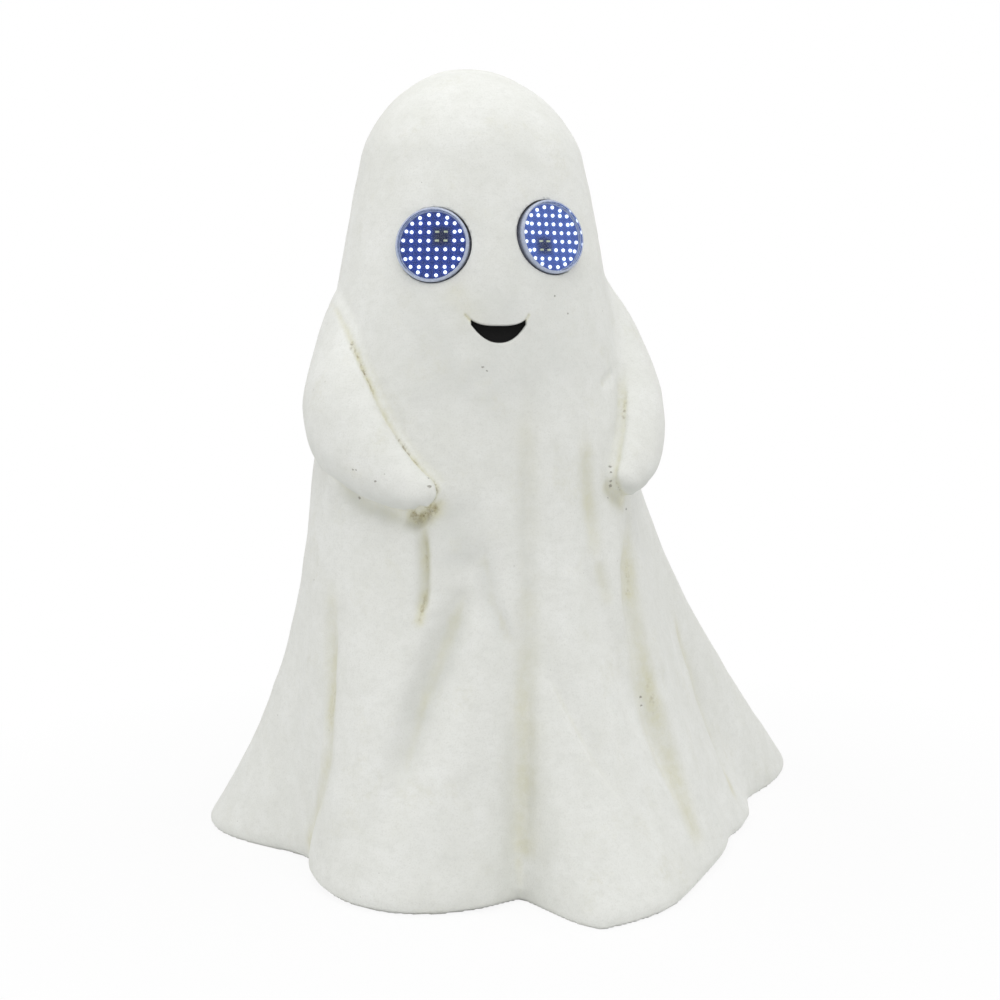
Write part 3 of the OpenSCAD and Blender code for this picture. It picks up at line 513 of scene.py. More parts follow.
def build_shell():
    """The casting: robe and arms fused into one skin, then tooled, cut and hollowed."""
    hem = [HEM_R * k for k in (0, 0.02, 0.08, 0.18, 0.32, 0.5, 0.72)]
    dome_z = FIGURE_H - DOME_H
    zs = np.array(hem + list(np.linspace(HEM_R, dome_z, 165))
                  + [dome_z + DOME_H * math.sin(math.radians(t)) for t in range(4, 89, 4)])
    parts = [lathe_grid(robe_r, zs, 540, FIGURE_H)]
    for arm in (LEFT_ARM, RIGHT_ARM):
        keys = [(*around(np.float64(rc), a, FIGURE_H - drop), w, t) for a, drop, rc, w, t in arm]
        path = spline(keys, 70)
        parts.append(tube(path[:, :3], path[:, 3], path[:, 4]))
    points, faces = joined(parts)
    shell = mesh_object("ghost_body", (points + AXIS) * MM, faces)
    mod = shell.modifiers.new("fuse", "REMESH")
    mod.mode = "VOXEL"
    mod.voxel_size = SKIN_VOXEL * MM
    baked(shell)

    mesh = shell.data
    p = coordinates(mesh)
    pairs = edges(mesh)
    flat = p[:, 2] < FLAT_FOOT
    p = relaxed(p, pairs, SKIN_ROUNDS)
    a, _, z = round_axis(p)
    shoulder = right_shoulder(a, z) * (z < ARM_HIGH)
    p += shoulder[:, None] * (relaxed(p, pairs, SHOULDER_ROUNDS) - p)
    p[flat, 2] = np.minimum(p[flat, 2], 0.0)
    put_vertices(mesh, p)

    # A finer skin round the mouth.
    bm = bmesh.new()
    bm.from_mesh(mesh)
    near = Vector((AXIS + [0, -MOUTH_REACH, MOUTH_Z]) * MM)
    for _ in range(2):
        picked = [e for e in bm.edges if all((v.co - near).length < MOUTH_AREA_R * MM for v in e.verts)]
        bmesh.ops.subdivide_edges(bm, edges=picked, cuts=1, use_grid_fill=True)
    bm.to_mesh(mesh)
    bm.free()
    mesh.update()

    p = coordinates(mesh)
    n = normals(mesh)
    a, r, z = round_axis(p)
    move = -groove_sum(a, z, r)
    for height, length, seed in WAVES:
        move += height * lattice_noise(p, length, seed)
    move -= SEAM_DEPTH * arm_seam(p, edges(mesh), 4)
    inside = mouth_depth_share(p)
    move *= np.clip(z / PLAIN_FOOT, 0, 1)
    p = p + n * move[:, None]
    p[:, 0] -= HEAD_LEAN * np.clip((z - LEAN_FROM) / LEAN_OVER, 0, 1) ** 2
    p[:, 1] += MOUTH_DEPTH * inside
    p[:, 2] = np.maximum(p[:, 2], 0)
    put_vertices(mesh, p)

    # Sockets, their holes and the hollow.
    for side in (-1, 1):
        m, slip = eye_matrix(side), SOCKET_SLIP[side]
        for radius, low, high in ((LENS_R + slip + SOCKET_GAP, -SOCKET_DEPTH, CUT_REACH),
                                  (PLUG_HOLE_R, -PLUG_HOLE_DEPTH, -SOCKET_DEPTH + 1)):
            points, faces = lathe([(0, low), (radius, low), (radius, high), (0, high)])
            cut(shell, mesh_object("tool", placed(points - [side * slip, 0, 0], m), faces, smooth=False))
    inner_dome = dome_z - WALL
    zs = np.array([-2.0, 0.0, PLATE_TOP] + list(range(20, 321, 12))
                  + [inner_dome + DOME_H * math.sin(math.radians(t)) for t in range(0, 81, 10)])
    points, faces = lathe_grid(hollow_r, zs, 180, FIGURE_H - WALL)
    cut(shell, mesh_object("tool", (points + AXIS) * MM, faces, smooth=False))
    return shell


def shell_posts():
    """Posts for the base's screws, each tied to the wall by a rib."""
    top, foot = PLATE_TOP + POST_H, PLATE_TOP + POST_GAP
    bore = [(0, foot + POST_BORE_L + 1), (POST_BORE_R, foot + POST_BORE_L), (POST_BORE_R, foot + 0.6),
            (POST_BORE_R + 0.7, foot)]
    skin = [(POST_R - POST_EDGE, foot), (POST_R, foot + POST_EDGE), (POST_R, top - 0.8), (POST_R - 0.8, top)]
    post = lathe(bore + skin + [(0, top)], 48)
    rib = box((RIB_W, POST_INSET + RIB_SINK, POST_H - 2 * RIB_STEP), PLATE_TOP + RIB_STEP)
    parts = []
    for a in POST_ANGLES:
        wall = float(hollow_r(a, PLATE_TOP))
        across, out = around(1.0, a + 90, 0.0), around(1.0, a, 0.0)
        for (p, f), reach in ((post, wall - POST_INSET), (rib, wall - POST_INSET / 2 + RIB_SINK / 2)):
            p = p[:, :1] * across + (p[:, 1:2] + reach) * out + p[:, 2:] * [0, 0, 1] + AXIS
            parts.append((p, [tuple(reversed(face)) for face in f]))
    points, faces = joined(parts)
    return mesh_object("shell_screw_posts", points * MM, faces, smooth=False)


def mouth_depth_share(p):
    """1 in the mouth, falling to 0 over its edge."""
    t = math.radians(FACE_TURN)
    x = p[:, 0] * math.cos(t) + p[:, 1] * math.sin(t) - MOUTH_X
    k = np.clip(np.abs(x) / MOUTH_HALF_W, 0, 1)
    corner = MOUTH_Z + CORNER_RISE
    upper = corner - UPPER_SAG * (1 - k ** UPPER_ROUND)
    lower = corner - CORNER_H - LOWER_SAG * (1 - k ** LOWER_ROUND)
    gap = np.minimum(np.minimum(upper - p[:, 2], p[:, 2] - lower), MOUTH_HALF_W - np.abs(x))
    return np.where(p[:, 1] < 0, np.clip(gap / LIP_EDGE + 0.5, 0, 1), 0)


def dress_shell(shell):
    """Stores where the tan wash, the painted grey shade, the arms' joints and the mouth's paint lie."""
    mesh = shell.data
    mesh.shade_smooth()
    p = coordinates(mesh)
    n = normals(mesh)
    pairs = edges(mesh)
    a, r, z = round_axis(p)
    fine = np.einsum("ij,ij->i", relaxed(p, pairs, 14) - p, n)
    wash = np.clip((fine - 0.2) / 0.8, 0, 0.5)
    # Painted grey shade along the tool marks, set by their last column.
    painted_shade = np.zeros(len(p))
    for line, _, left_w, right_w, strength, half, dull in GROOVES:
        dist, share, left = line_distance(a, z, r, line)
        wash = np.maximum(wash, strength * np.exp(-((dist / half) ** 2)) * np.clip(share * 5 + 0.2, 0, 1))
        ends = np.clip(np.minimum(share, 1 - share) * 3, 0, 1)
        ends = ends * ends * (3 - 2 * ends) * 0.9 + 0.1
        width = np.where(left, left_w, right_w)
        painted_shade = np.maximum(painted_shade, dull * ends * np.exp(-((dist / width / 1.2) ** 2)))
    on_robe = np.clip(2.2 - (r - robe_r(a, z)) / 2.5, 0, 1)
    on_robe = np.where(z > ARM_LOW + 5, on_robe, 1)
    seam = arm_seam(p, pairs, 6)
    wash = np.maximum(wash, seam ** 1.1 * np.where(p[:, 0] < 0, 1.3, 1.0)) * on_robe
    # Painted shade along the arms' seams and on the arms' downward-facing sides.
    painted_shade = np.maximum(painted_shade, 0.4 * seam) * on_robe
    shade_under_arm = np.clip((-n[:, 2] - 0.05) / 0.6, 0, 1) * (1 - on_robe)
    painted_shade = np.maximum(painted_shade, 0.9 * shade_under_arm)
    shoulder = right_shoulder(a, z)
    wash *= 1 - shoulder
    wash = wash * (0.75 + 0.45 * lattice_noise(p, 11.0, 11))
    attribute(mesh, "wash", np.clip(wash, 0, 1.6))
    attribute(mesh, "joint", seam ** 3 * (1 - shoulder))
    attribute(mesh, "painted_shade", np.clip(painted_shade * (0.9 + 0.3 * lattice_noise(p, 7.0, 13)), 0, 1))
    attribute(mesh, "mouth", mouth_depth_share(p))


shell = build_shell()
dress_shell(shell)


class Finish:
    """A material's or the world's nodes, with short ways to add them."""

    def __init__(self, name, owner=bpy.data.materials, output="ShaderNodeOutputMaterial"):
        self.material = owner.new(name)
        self.material.use_nodes = True
        self.tree = self.material.node_tree
        self.tree.nodes.clear()
        self.output = output
        self.place = self.add("ShaderNodeTexCoord").outputs["Object"]

    def add(self, kind, inputs=None, **settings):
        node = self.tree.nodes.new(kind)
        for key, value in settings.items():
            setattr(node, key, value)
        for key, value in (inputs or {}).items():
            self.put(node.inputs[key], value)
        return node

    def put(self, socket, value):
        if isinstance(value, bpy.types.NodeSocket):
            self.tree.links.new(value, socket)
        elif socket.type == "RGBA" and len(value) == 3:
            socket.default_value = (*value, 1.0)
        else:
            socket.default_value = value

    def stretched(self, x, y, z):
        return self.add("ShaderNodeMapping", {"Vector": self.place, "Scale": (x, y, z)}).outputs[0]

    def noise(self, scale, detail=4.0, rough=0.55, place=None):
        return self.add("ShaderNodeTexNoise", {
            "Vector": place or self.place, "Scale": scale, "Detail": detail, "Roughness": rough,
        }).outputs["Fac"]

    def cells(self, scale):
        return self.add("ShaderNodeTexVoronoi", {"Vector": self.place, "Scale": scale}).outputs["Distance"]

    def value(self, name):
        return self.add("ShaderNodeAttribute", attribute_name=name).outputs["Fac"]

    def math(self, operation, a, b=0.0, clamp=False):
        return self.add("ShaderNodeMath", {0: a, 1: b}, operation=operation, use_clamp=clamp).outputs[0]

    def times(self, a, b):
        return self.math("MULTIPLY", a, b)

    def fit(self, value, low, high, to_low=0.0, to_high=1.0):
        return self.add("ShaderNodeMapRange", {
            "Value": value, "From Min": low, "From Max": high, "To Min": to_low, "To Max": to_high,
        }).outputs["Result"]

    def mix(self, share, a, b):
        return self.add("ShaderNodeMix", {0: share, 6: a, 7: b}, data_type="RGBA").outputs[2]

    def bump(self, height, strength, distance):
        inputs = {"Height": height, "Strength": strength, "Distance": distance}
        return self.add("ShaderNodeBump", inputs).outputs[0]

    def seen(self):
        """1 on rays from the camera, also by way of shiny or clear things, and 0 on the rest."""
        path = self.add("ShaderNodeLightPath")
        share = path.outputs["Is Camera Ray"]
        for ray in ("Is Glossy Ray", "Is Transmission Ray"):
            share = self.math("MAXIMUM", share, path.outputs[ray])
        return share

    def surface(self, **inputs):
        shader = self.add("ShaderNodeBsdfPrincipled", {k.replace("_", " "): v for k, v in inputs.items()})
        return self.done(shader.outputs[0])

    def done(self, shader):
        self.add(self.output, {"Surface": shader})
        return self.material


def shell_finish(nicks):
    """White paint over a cast skin, with a tan wash in its hollows, painted grey shade, pits, nicks and a
    black mouth.
    """
    f = Finish("cast_white")
    broad = f.noise(14, 3, 0.5)
    cloud = f.noise(75, 5, 0.62)
    mottle = f.noise(260, 4, 0.6)
    brush = f.noise(420, 3, 0.6, f.stretched(0.35, 0.35, 1))
    grain = f.noise(1300, 2, 0.6)
    tone = f.math("ADD", f.times(broad, 0.35), f.times(cloud, 0.65))
    colour = f.mix(f.fit(tone, 0.34, 0.66), srgb(226, 227, 221), srgb(236, 237, 233))
    colour = f.mix(f.fit(mottle, 0.5, 0.75, 0, 0.3), colour, srgb(216, 217, 211))
    colour = f.mix(f.fit(brush, 0.52, 0.75, 0, 0.2), colour, srgb(212, 213, 207))
    colour = f.mix(f.fit(grain, 0.5, 0.75, 0, 0.35), colour, srgb(206, 206, 199))
    # Painted grey shade in hollows, along the arms' seams and under the arms.
    colour = f.mix(f.times(f.value("painted_shade"), 0.8), colour, srgb(202, 204, 199))
    wash = f.value("wash")
    dusty = f.math("MULTIPLY", wash, f.fit(f.noise(220, 5, 0.7), 0.32, 0.62, 0.45, 1.0), clamp=True)
    colour = f.mix(f.times(dusty, 0.85), colour, srgb(207, 204, 170))
    dark = f.fit(f.times(wash, f.noise(380, 4, 0.7)), 0.40, 0.85, 0, 0.95)
    colour = f.mix(dark, colour, srgb(148, 136, 100))
    darkest = f.fit(f.times(wash, f.noise(620, 3, 0.7)), 0.70, 0.85, 0, 0.8)
    colour = f.mix(darkest, colour, srgb(86, 72, 52))
    speck_here = f.fit(f.noise(120, 2, 0.5), 0.48, 0.58)
    speck = f.times(speck_here, f.fit(f.noise(430, 3, 0.6), 0.50, 0.62, 0, 0.8))
    colour = f.mix(f.times(speck, f.value("joint")), colour, srgb(126, 112, 84))
    stain = f.times(f.fit(f.noise(46, 4, 0.6), 0.56, 0.72), f.fit(f.noise(330, 4, 0.7), 0.4, 0.65))
    colour = f.mix(f.times(stain, 0.35), colour, srgb(211, 210, 192))
    pits = f.math("ADD", f.cells(170), f.times(f.noise(900, 2), 0.08))
    pit_here = f.fit(f.noise(60, 2), 0.60, 0.66)
    pit = f.times(f.fit(pits, 0.13, 0.07), pit_here)
    rough_edge = f.times(f.math("SUBTRACT", f.noise(520, 3, 0.6), 0.5), 0.003)
    for spot, size in nicks:
        ends = {0: f.stretched(1, 1, NICK_FLAT), 1: spot * [1, 1, NICK_FLAT]}
        gap = f.add("ShaderNodeVectorMath", ends, operation="DISTANCE")
        ragged = f.math("ADD", gap.outputs["Value"], rough_edge)
        pit = f.math("MAXIMUM", pit, f.fit(ragged, 1.15 * size, 0.7 * size))
    colour = f.mix(f.times(pit, 0.6), colour, srgb(112, 104, 90))
    mouth = f.fit(f.value("mouth"), 0.35, 0.65)
    colour = f.mix(mouth, colour, srgb(7, 7, 7))
    height = f.math("ADD", f.times(mottle, 0.6), f.times(grain, 0.25))
    height = f.math("ADD", height, f.times(brush, 0.3))
    height = f.math("SUBTRACT", height, f.times(pit, 1.5))
    normal = f.bump(height, 0.4, 0.0006)
    rough = f.math("MAXIMUM", f.fit(cloud, 0.3, 0.7, 0.58, 0.76), f.times(mouth, 0.9))
    return f.surface(Base_Color=colour, Roughness=rough, Normal=normal, Specular_IOR_Level=0.3)


def on_shell(a, z):
    """Point of the outer skin at an angle and a height in mm, in metres."""
    p = coordinates(shell.data)
    angle, radius, height = round_axis(p)
    near = np.hypot(turned(angle - a) * 1.4, height - z) < 1.5
    return (p[near][radius[near].argmax()] + AXIS) * MM


def dressed(piece, node, body, finish):
    """Gives a piece its finish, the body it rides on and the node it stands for."""
    piece.data.materials.clear()
    piece.data.materials.append(finish)
    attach(piece, body)
    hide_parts(node)


CAST_WHITE = shell_finish([(on_shell(a, z), size * MM) for a, z, size in NICKS])
dressed(shell, "body_shell", "figure", CAST_WHITE)
dressed(shell_posts(), "body_shell", "figure", CAST_WHITE)


def lens_finish():
    """Clear plastic with faint smears."""
    f = Finish("clear_window")
    smear = f.fit(f.noise(160, 4, 0.6), 0.4, 0.8, 0.02, 0.07)
    return f.surface(Base_Color=srgb(240, 245, 252), Roughness=smear, IOR=1.33, Specular_IOR_Level=0.25,
                     Transmission_Weight=1.0)


def rim_finish():
    """Frosted plastic, with painted shade where it is sunk in its socket."""
    f = Finish("frosted_rim")
    cloud = f.noise(420, 4, 0.6)
    colour = f.mix(f.fit(cloud, 0.3, 0.7), srgb(166, 177, 200), srgb(186, 194, 212))
    # Painted shade on the part of the rim that is sunk in its socket.
    colour = f.mix(f.value("sunk"), colour, srgb(104, 108, 122))
    return f.surface(Base_Color=colour, Roughness=f.fit(cloud, 0.3, 0.7, 0.2, 0.32),
                     Normal=f.bump(f.noise(1400, 2), 0.1, 0.0002))


def board_finish():
    """Black board with the blue glow of its lights painted on as emission, and a pale rim."""
    f = Finish("light_board")
    glow, rim = f.value("glow"), f.value("rim")
    mask = f.mix(f.fit(f.noise(600), 0.3, 0.7), srgb(10, 12, 18), srgb(20, 23, 30))
    mask = f.mix(rim, mask, srgb(196, 204, 222))
    # Painted glow: blue light given off by the board round its lights, with a paler painted haze.
    lit = f.mix(f.fit(glow, 0.05, 0.50), srgb(12, 24, 58), srgb(22, 62, 158))
    lit = f.mix(f.fit(glow, 0.55, 1.0), lit, srgb(96, 140, 226))
    lit = f.mix(f.value("glow_haze"), lit, srgb(92, 118, 184))
    lit = f.mix(rim, lit, srgb(40, 46, 70))
    return f.surface(Base_Color=mask, Roughness=0.4, Specular_IOR_Level=0.1, Emission_Color=lit,
                     Emission_Strength=1.0)


def lit_finish():
    f = Finish("lit_light")
    colour = f.mix(f.fit(f.noise(900), 0.3, 0.7), srgb(226, 238, 255), srgb(255, 255, 255))
    return f.surface(Base_Color=srgb(240, 240, 235), Roughness=0.4, Emission_Color=colour,
                     Emission_Strength=1.25)


# Unlit lights, which give off a faint painted glow.
def dark_finish():
    f = Finish("unlit_light")
    colour = f.mix(f.fit(f.noise(1500), 0.3, 0.7), srgb(186, 192, 150), srgb(212, 214, 184))
    return f.surface(Base_Color=colour, Roughness=0.45, Emission_Color=colour, Emission_Strength=0.15)


def led_spots(side, lit):
    """Places of an eye's lights as (x, y, turn in degrees)."""
    spots = []
    for i in range(6):
        for j in range(6):
            corner = i in (0, 5) and j in (0, 5)
            pupil = i in (3, 4) and j in (3, 4)
            if not corner and pupil != lit:
                spots.append(((i - 2.5) * LED_PITCH, (j - 2.5) * LED_PITCH, 0.0))
    if lit:
        for k in range(LED_RING_COUNT):
            t = math.radians(360 * (k + 0.5) / LED_RING_COUNT)
            spots.append((-LED_RING_R * math.sin(t), LED_RING_R * math.cos(t), math.degrees(t)))
    if side > 0:
        spots = [(-x, -y, turn + 180) for x, y, turn in spots]
    return spots


def light_pieces(name, places, shape):
    """Lights of one shape at places of (eye's matrix, spot)."""
    parts = []
    for matrix, (x, y, turn) in places:
        c, s = math.cos(math.radians(turn)), math.sin(math.radians(turn))
        local = [(x + u * c - v * s, y + u * s + v * c, w) for u, v, w in shape[0]]
        parts.append((placed(local, matrix), shape[1]))
    return mesh_object(name, *joined(parts), smooth=False)


DOME = lathe([(0, BOARD_TOP), (LED_R, BOARD_TOP), (LED_R, BOARD_TOP + 0.4), (0.7, BOARD_TOP + 0.62),
              (0.44, BOARD_TOP + 0.76), (0, BOARD_TOP + LED_H)], 16)
BAR = box((BAR_L, BAR_W, LED_H), BOARD_TOP)
LENS, RIM, LIT, UNLIT, BOARD = lens_finish(), rim_finish(), lit_finish(), dark_finish(), board_finish()
for word, side in {"left": -1, "right": 1}.items():
    m = eye_matrix(side)
    inner, back, pale_end = LENS_R - RIM_W, LENS_PROUD - WINDOW_T, LENS_PROUD - PALE_SIDE
    edge = [(LENS_R - RIM_ROUND * (1 - math.cos(t)), LENS_PROUD - RIM_ROUND * (1 - math.sin(t)))
            for t in [math.radians(d) for d in range(0, 91, 10)]]
    profile = [(inner, back), (inner, -SOCKET_DEPTH), (LENS_R, -SOCKET_DEPTH), (LENS_R, pale_end)] + edge
    p, f = lathe(profile + [(inner, LENS_PROUD)], closed=True)
    rim = mesh_object("eye_lens_rim_" + word, placed(p, m), f)
    _, r, z = round_axis(p)
    # The rim's part sunk in the socket, which gets painted shade.
    attribute(rim.data, "sunk", (r > LENS_R - RIM_W / 2) & (z < pale_end + SMALL))
    disc = inner - WINDOW_GAP
    p, f = lathe([(0, back), (disc, back), (disc, LENS_PROUD), (0, LENS_PROUD)])
    window = mesh_object("eye_lens_clear_" + word, placed(p, m), f)
    for piece, finish in ((rim, RIM), (window, LENS)):
        shade(piece, TURNED_SHARP)
        dressed(piece, "eye_lens_" + word, "figure", finish)

    rings = [(BOARD_R * k / BOARD_RINGS, BOARD_TOP) for k in range(BOARD_RINGS + 1)]
    p, f = lathe(rings + [(BOARD_R, BOARD_TOP - BOARD_T), (0, BOARD_TOP - BOARD_T)], 144)
    f = [tuple(reversed(face)) for face in f]
    board = mesh_object("light_board_" + word, placed(p, m), f, smooth=False)
    # Painted glow of the lights on the board, and a paler painted haze.
    glow = np.zeros(len(p))
    for x, y, _ in led_spots(side, True):
        d = np.hypot(p[:, 0] - x, p[:, 1] - y)
        glow += 0.5 * np.exp(-((d / 1.5) ** 2)) + 0.10 * np.exp(-((d / 3.6) ** 2))
    _, r, z = round_axis(p)
    top = z > BOARD_TOP - BOARD_T / 2
    attribute(board.data, "glow", np.clip(glow * EYE_GLOW[side], 0, 1) * top)
    attribute(board.data, "glow_haze", EYE_GLOW_HAZE[side] * np.clip(glow / 0.3, 0, 1) * top)
    attribute(board.data, "rim", np.clip((r - BOARD_RIM_R) / 0.5, 0, 1) * top)
    dressed(board, "led_board_" + word, "figure", BOARD)

    lit = light_pieces("lit_lights_" + word, [(m, s) for s in led_spots(side, True)], DOME)
    dressed(lit, "leds_" + word, "figure", LIT)

pupils = [(eye_matrix(side), spot) for side in (-1, 1) for spot in led_spots(side, False)]
dressed(light_pieces("pupil_lights", pupils, BAR), "pupil_leds", "figure", UNLIT)

# Base, battery door, controls and leads.
BASE_SCREW = {"r": 1.75, "l": 13.0, "head_r": 3.4, "head_h": 2.0}
DOOR_SCREW = {"r": 1.25, "l": 4.4, "head_r": 2.5, "head_h": 1.5}
SCREW_SLOT_W, THREAD_PITCH = 0.7, 0.8
# Half length of a battery's dark sleeve, and the blur of its edge.
SLEEVE_HALF, SLEEVE_EDGE = 15.0, 0.2
# Ribs on the door's outside, for a fingertip.
GRIP_COUNT, GRIP_PITCH, GRIP_FROM_SCREW = 5, 2.4, 9.0
GRIP_L, GRIP_W, GRIP_H, GRIP_SINK, GRIP_ROUND = 16.0, 1.0, 0.6, 0.2, 0.3


def plastic_finish(name, dark, light, rough, grain=900.0):
    """Moulded plastic with a fine spark texture, rubbed lighter in places."""
    f = Finish(name)
    cloud = f.noise(90, 4, 0.6)
    colour = f.mix(f.fit(cloud, 0.32, 0.68), dark, light)
    scuff = f.fit(f.noise(260, 5, 0.75, f.stretched(1, 0.2, 1)), 0.66, 0.74, 0, 0.35)
    colour = f.mix(scuff, colour, tuple(min(1, c * 1.5 + 0.02) for c in light))
    return f.surface(Base_Color=colour, Roughness=f.fit(cloud, 0.3, 0.7, rough - 0.06, rough + 0.08),
                     Normal=f.bump(f.noise(grain, 3, 0.6), 0.25, 0.0003), Specular_IOR_Level=0.4)


def metal_finish(name, dark, light, rough):
    """Drawn or plated metal with fine scratches and dull spots."""
    f = Finish(name)
    cloud = f.noise(300, 5, 0.65)
    scratch = f.noise(1500, 3, 0.7, f.stretched(1, 0.08, 1))
    colour = f.mix(f.fit(cloud, 0.3, 0.7), dark, light)
    dull = f.fit(cloud, 0.3, 0.7, rough - 0.08, rough + 0.12)
    return f.surface(Base_Color=colour, Metallic=1.0, Roughness=dull, Normal=f.bump(scratch, 0.15, 0.0002))


def sheath_finish(name, dark, light):
    """Soft wire sheath."""
    f = Finish(name)
    colour = f.mix(f.fit(f.noise(150, 4), 0.3, 0.7), dark, light)
    return f.surface(Base_Color=colour, Roughness=0.42, Normal=f.bump(f.noise(2200, 2), 0.12, 0.0002))


def battery_finish():
    """Printed sleeve with a copper band, and bare metal on the ends."""
    f = Finish("battery_jacket")
    facing = f.add("ShaderNodeSeparateXYZ", {0: f.add("ShaderNodeNewGeometry").outputs["Normal"]}).outputs[1]
    end = f.fit(f.math("ABSOLUTE", facing), 0.85, 0.95)
    along = f.add("ShaderNodeSeparateXYZ", {0: f.place}).outputs[1]
    low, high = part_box("batteries")
    middle = (low[1] + high[1]) / 2
    off_middle = f.math("ABSOLUTE", f.math("SUBTRACT", along, middle))
    band = f.fit(off_middle, (SLEEVE_HALF - SLEEVE_EDGE) * MM, (SLEEVE_HALF + SLEEVE_EDGE) * MM)
    sleeve = f.mix(f.fit(f.noise(400, 4), 0.3, 0.7), srgb(46, 66, 58), srgb(58, 82, 70))
    colour = f.mix(band, sleeve, srgb(178, 122, 74))
    colour = f.mix(end, colour, srgb(196, 196, 192))
    return f.surface(Base_Color=colour, Metallic=f.math("MAXIMUM", end, f.times(band, 0.8)),
                     Roughness=f.fit(f.noise(700, 3), 0.3, 0.7, 0.28, 0.42))


def foam_finish():
    """Black foam with open cells."""
    f = Finish("seal_foam")
    cell = f.cells(2600)
    colour = f.mix(f.fit(cell, 0.1, 0.6), srgb(18, 18, 20), srgb(40, 40, 43))
    return f.surface(Base_Color=colour, Roughness=0.9, Normal=f.bump(cell, 0.6, 0.0003))


def circuit_finish():
    """Green solder mask over faint copper tracks."""
    f = Finish("circuit_board")
    tracks = f.add("ShaderNodeTexBrick", {
        "Vector": f.place, "Color1": (0, 0, 0), "Color2": (0, 0, 0), "Mortar": (1, 1, 1),
        "Scale": 260.0, "Mortar Size": 0.03,
    }).outputs["Fac"]
    track = f.times(tracks, f.fit(f.noise(120, 1), 0.45, 0.5))
    mask = f.mix(f.fit(f.noise(500, 3), 0.3, 0.7), srgb(16, 70, 40), srgb(22, 84, 50))
    colour = f.mix(f.times(track, 0.6), mask, srgb(64, 128, 78))
    return f.surface(Base_Color=colour, Roughness=0.36, Normal=f.bump(track, 0.2, 0.0002))


STEEL = metal_finish("screw_steel", srgb(150, 150, 148), srgb(190, 190, 188), 0.34)
BASE_PLASTIC = plastic_finish("base_plastic", srgb(52, 53, 55), srgb(64, 65, 67), 0.55)
GREY_LEAD = sheath_finish("grey_lead", srgb(70, 72, 76), srgb(92, 94, 98))
CHIP = plastic_finish("chip_epoxy", srgb(20, 21, 22), srgb(32, 33, 34), 0.5, 2400.0)
SOCKET = plastic_finish("plug_socket", srgb(222, 216, 198), srgb(238, 233, 218), 0.45, 1500.0)
CUP = plastic_finish("cup_plastic", srgb(206, 208, 212), srgb(226, 228, 232), 0.4)
NODE_FINISHES = {
    "eye_cup_left": CUP, "eye_cup_right": CUP, "driver_chips": CHIP, "control_chip": CHIP,
    "eye_plug_sockets": SOCKET, "board_plug_sockets": SOCKET,
    "eye_lead_left": GREY_LEAD, "eye_lead_right": GREY_LEAD, "switch_lead": GREY_LEAD,
    "battery_lead": sheath_finish("red_lead", srgb(150, 30, 28), srgb(178, 40, 34)),
    "battery_box": plastic_finish("box_plastic", srgb(196, 197, 196), srgb(214, 215, 214), 0.5),
    "battery_box_screws": STEEL, "board_screws": STEEL, "batteries": battery_finish(),
    "battery_springs": metal_finish("spring_steel", srgb(168, 168, 165), srgb(206, 206, 202), 0.25),
    "battery_contacts": metal_finish("contact_metal", srgb(186, 170, 128), srgb(212, 198, 158), 0.3),
    "door_seal": foam_finish(), "control_board": circuit_finish(),
    "capacitor": plastic_finish("capacitor_sleeve", srgb(22, 26, 58), srgb(32, 38, 76), 0.35, 1500.0),
    "switch_case": metal_finish("switch_metal", srgb(176, 176, 172), srgb(206, 206, 202), 0.3),
}
for name, finish in NODE_FINISHES.items():
    node = frame["nodes"][name]
    node.data.materials.clear()
    node.data.materials.append(finish)


def rounded(piece, width):
    """Rounds a piece's sharp edges."""
    mod = piece.modifiers.new("round", "BEVEL")
    mod.width, mod.segments = width * MM, 2
    mod.limit_method, mod.angle_limit = "ANGLE", math.radians(50)
    baked(piece)


def softened(name, node, width, body, finish):
    """A copy of a CAD node with its sharp edges rounded, which stands for the node."""
    piece = added(name, frame["nodes"][node].data.copy())
    bm = bmesh.new()
    bm.from_mesh(piece.data)
    bmesh.ops.remove_doubles(bm, verts=bm.verts, dist=1e-6)
    bmesh.ops.dissolve_limit(bm, angle_limit=math.radians(1), verts=bm.verts, edges=bm.edges)
    bm.to_mesh(piece.data)
    bm.free()
    rounded(piece, width)
    shade(piece, MOULDED_SHARP)
    dressed(piece, node, body, finish)


def screw_mesh(r, l, head_r, head_h):
    """Screw with its head below and its threaded shank upwards, from the face under the head."""
    head = [(0, -head_h), (head_r * 0.55, -head_h), (head_r * 0.88, -head_h * 0.82), (head_r, -head_h * 0.45),
            (head_r, 0), (r, 0)]
    turns = int((l - 1.2) / THREAD_PITCH)
    thread = [(r * k, 0.4 + THREAD_PITCH * (n + t))
              for n in range(turns) for t, k in ((0.0, 0.8), (0.5, 1.0))]
    return lathe(head + thread + [(r * 0.8, l - 0.6), (r * 0.3, l), (0, l)], 32)


def screws(name, spots, sizes, arms):
    """Screws of one size at the given spots, with a slot or a cross in each head."""
    p, f = screw_mesh(**sizes)
    points, faces = joined([(p + spot, f) for spot in spots])
    piece = mesh_object(name, points * MM, faces)
    length = 2 * sizes["head_r"] * (1.1 if arms == 1 else 0.62)
    p, f = box((length, SCREW_SLOT_W, sizes["head_h"] * 0.5 + 1), -sizes["head_h"] - 1)
    for spot in spots:
        for arm in range(arms):
            slot = np.array([(-y, x, z) if arm else (x, y, z) for x, y, z in p])
            cut(piece, mesh_object("tool", (slot + spot) * MM, f, smooth=False))
    shade(piece, TURNED_SHARP)
    return piece


